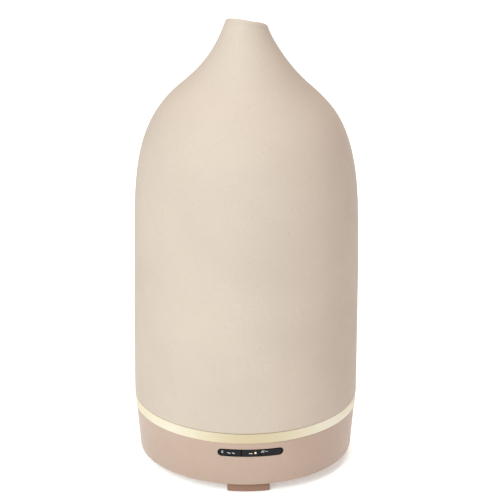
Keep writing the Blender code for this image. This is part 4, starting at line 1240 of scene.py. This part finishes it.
def board_parts(looks):
    dark, metal = looks["dark_plastic"], looks["bright_metal"]
    for name in ("transducer_connector", "fan_connector", "led_connector"):
        low, high = node_box(name)
        item = piece(name + "_shell", soft_box(low, high, 0.12, 0.25), looks["white_plastic"], "base",
                     stands_for=[name])
        hollow = box_mesh((low.x + 0.7, low.y + 0.7, high.z - 1.4), (high.x - 0.7, high.y - 0.7, high.z + 1))
        key = box_mesh((low.x + 2.2, low.y - 1, high.z - 1.0), (high.x - 2.2, low.y + 1, high.z + 1))
        carve(item, [blank(hollow), blank(key)])
    for name, count in (("controller_chip", 8), ("driver_transistor", 3)):
        low, high = node_box(name)
        body = soft_box((low.x, low.y + 0.6, low.z + 0.2), (high.x, high.y - 0.6, high.z), 0.15, 0.2)
        piece(name + "_body", body, dark, "base", stands_for=[name])
        pitch = (high.x - low.x - 0.8) / (count - 1)
        places = [low.x + 0.4 + pitch * k for k in range(count)]
        legs = gull_legs(places, low.y, -1, low.z) + gull_legs(places, high.y, 1, low.z)
        piece(name + "_legs", merge(legs), metal, "base")
    low, high = node_box("capacitor")
    can = [(0, low.z), (3.8, low.z), (4.0, low.z + 0.3), (4.0, low.z + 1.2), (3.8, low.z + 1.5),
           (4.0, low.z + 1.8), (4.0, high.z), (3.2, high.z), (3.0, high.z - 0.2), (0, high.z - 0.2)]
    shape = turned_mesh(fillet(can, {4: 0.2, 6: 0.4, 7: 0.1}), 64, axis_of("capacitor"))
    item = piece("capacitor_can", shape, metal, "base", stands_for=["capacitor"])
    x, y, _ = node_centre("capacitor")
    carve(item, [blank(box_mesh((x - w, y - l, high.z - 0.3), (x + w, y + l, high.z + 1)))
                 for w, l in ((0.12, 2.2), (2.2, 0.12))])
    low, high = node_box("inductor")
    spool = [(0, low.z), (4.5, low.z), (4.5, low.z + 1.0), (3.4, low.z + 1.0), (3.4, low.z + 4.2),
             (4.5, low.z + 4.2), (4.5, high.z), (0, high.z)]
    place = axis_of("inductor")
    shape = turned_mesh(fillet(spool, {1: 0.2, 2: 0.2, 5: 0.2, 6: 0.2}), 64, place)
    piece("inductor_core", shape, dark, "base", stands_for=["inductor"])
    turns, steps = 6, 40
    coil = [Vector((place.x + 3.68 * cos(2 * pi * k / steps), place.y + 3.68 * sin(2 * pi * k / steps),
                    low.z + 1.32 + 2.56 * k / (turns * steps))) for k in range(turns * steps + 1)]
    piece("inductor_winding", tube(coil, 0.21, 10), looks["piezo_brass"], "base")


def switches(looks):
    for name in ("mist_switch", "light_switch"):
        low, high = node_box(name)
        item = piece(name + "_body", soft_box(low, high, 0.2, 0.2), looks["dark_plastic"], "base",
                     stands_for=[name])
        middle = node_centre(name)
        guide = lathe_y([(0, -37.5), (1.1, -37.5), (1.1, -34.7), (0, -34.7)], (middle.x, middle.z), 32)
        carve(item, [blank(guide)])
        low, high = node_box(name + "_plunger")
        front = low.y + PLUNGER_SHORTER
        outline = fillet([(0, front), (0.8, front), (0.8, high.y), (0, high.y)], {1: 0.25, 2: 0.1}, 4)
        stem = lathe_y(outline, (middle.x, middle.z), 32)
        piece(name + "_plunger_stem", stem, looks["white_plastic"], "base", stands_for=[name + "_plunger"])
    low, high = node_box("indicator_led")
    piece("indicator_led_package", soft_box(low, high, 0.15, 0.2), looks["led_emitter"], "base",
          stands_for=["indicator_led"])


def fan(frame_look, rotor_look):
    low, high = node_box("fan_housing")
    middle = (low + high) / 2
    floor = low.z + 1.2
    item = piece("fan_housing_frame", soft_box(low, high, 0.3, 3.0), frame_look, "base",
                 stands_for=["fan_housing"])
    tools = [cylinder_mesh(13.9, floor, high.z + 2, middle.xy, 96)]
    for i in range(3):
        opening = [(middle.x + x, middle.y + y) for x, y in arc_points(7.6, 13.6, 30 + 120 * i, 51, 0.8)]
        tools.append(slab(opening, [(low.z - 1, 0), (floor + 0.5, 0)]))
    tools.append(cylinder_mesh(1.3, low.z - 1, floor + 0.5, middle.xy, 24))
    tools += [cylinder_mesh(1.5, low.z - 1, high.z + 1, (middle.x + x, middle.y + y), 24)
              for x in (-12, 12) for y in (-12, 12)]
    carve(item, [blank(shape) for shape in tools])
    rotor_low, rotor_high = node_box("fan_rotor")
    hub = [(0, rotor_low.z), (1.0, rotor_low.z), (1.0, rotor_low.z + 1.6), (7.6, rotor_low.z + 1.6),
           (7.6, rotor_high.z), (0, rotor_high.z)]
    rotor = piece("fan_rotor_hub", turned_mesh(fillet(hub, {1: 0.1, 2: 0.3, 3: 0.4, 4: 0.6}), 84, middle.xy),
                  rotor_look, "rotor", stands_for=["fan_rotor"])
    blades = [fan_blade(middle, 2 * pi * k / 7, rotor_low.z + 2.0, rotor_high.z - 0.3) for k in range(7)]
    carve(rotor, [blank(shape) for shape in blades], "UNION")


def fan_blade(middle, start, low, high):
    """One swept, pitched blade, lofted outwards from inside the hub."""
    rings = []
    shape = bmesh.new()
    for i in range(7):
        r = 7.2 + 6.0 * i / 6
        section = []
        for thick, row in ((0.0, range(6)), (0.7, range(5, -1, -1))):
            for c in row:
                along = c / 5
                taper = thick * (1 - abs(2 * along - 1) ** 3 * 0.7)
                angle = start + 0.16 * i / 6 + 0.46 * (along - 0.5) + taper / r
                section.append(shape.verts.new((middle.x + r * cos(angle), middle.y + r * sin(angle),
                                                low + (high - low) * along)))
        rings.append(section)
    bridge(shape, rings)
    flat_caps(shape, rings)
    face_outwards(shape)
    return shape


# ---------------------------------------------------------------- assembly

SLOT_OF_NODE = {entry["node"]: entry["material_slot"] for entry in frame["record"]["subparts"]}


def dress_cad_nodes(looks):
    for name, item in frame["nodes"].items():
        item.data.materials.clear()
        item.data.materials.append(looks[SLOT_OF_NODE[name]])


def main():
    make_camera()
    looks = make_looks()
    make_stage()
    dress_cad_nodes(looks)
    ceramic_cover(looks["cover_ceramic"])
    light_ring(looks["ring_diffuser"])
    ring_gasket(looks["silicone"])
    base_housing(looks["base_plastic"])
    # the foot colour carries painted shade of the underside
    feet(looks["foot_rubber"])
    key_panel(looks)
    bottom_plate(looks["base_plastic"])
    dc_jack(looks["dark_plastic"], looks["bright_metal"])
    inner_lid(looks["frosted_plastic"])
    mist_chimney(looks["frosted_plastic"])
    splash_guard(looks["frosted_plastic"])
    water_tank(looks["white_plastic"])
    air_duct(looks["white_plastic"])
    transducer(looks["piezo_brass"], looks["silicone"], looks["bright_metal"])
    all_screws(looks["bright_metal"])
    wiring(looks)
    boards(looks)
    board_parts(looks)
    switches(looks)
    fan(looks["dark_plastic"], looks["dark_plastic"])


main()
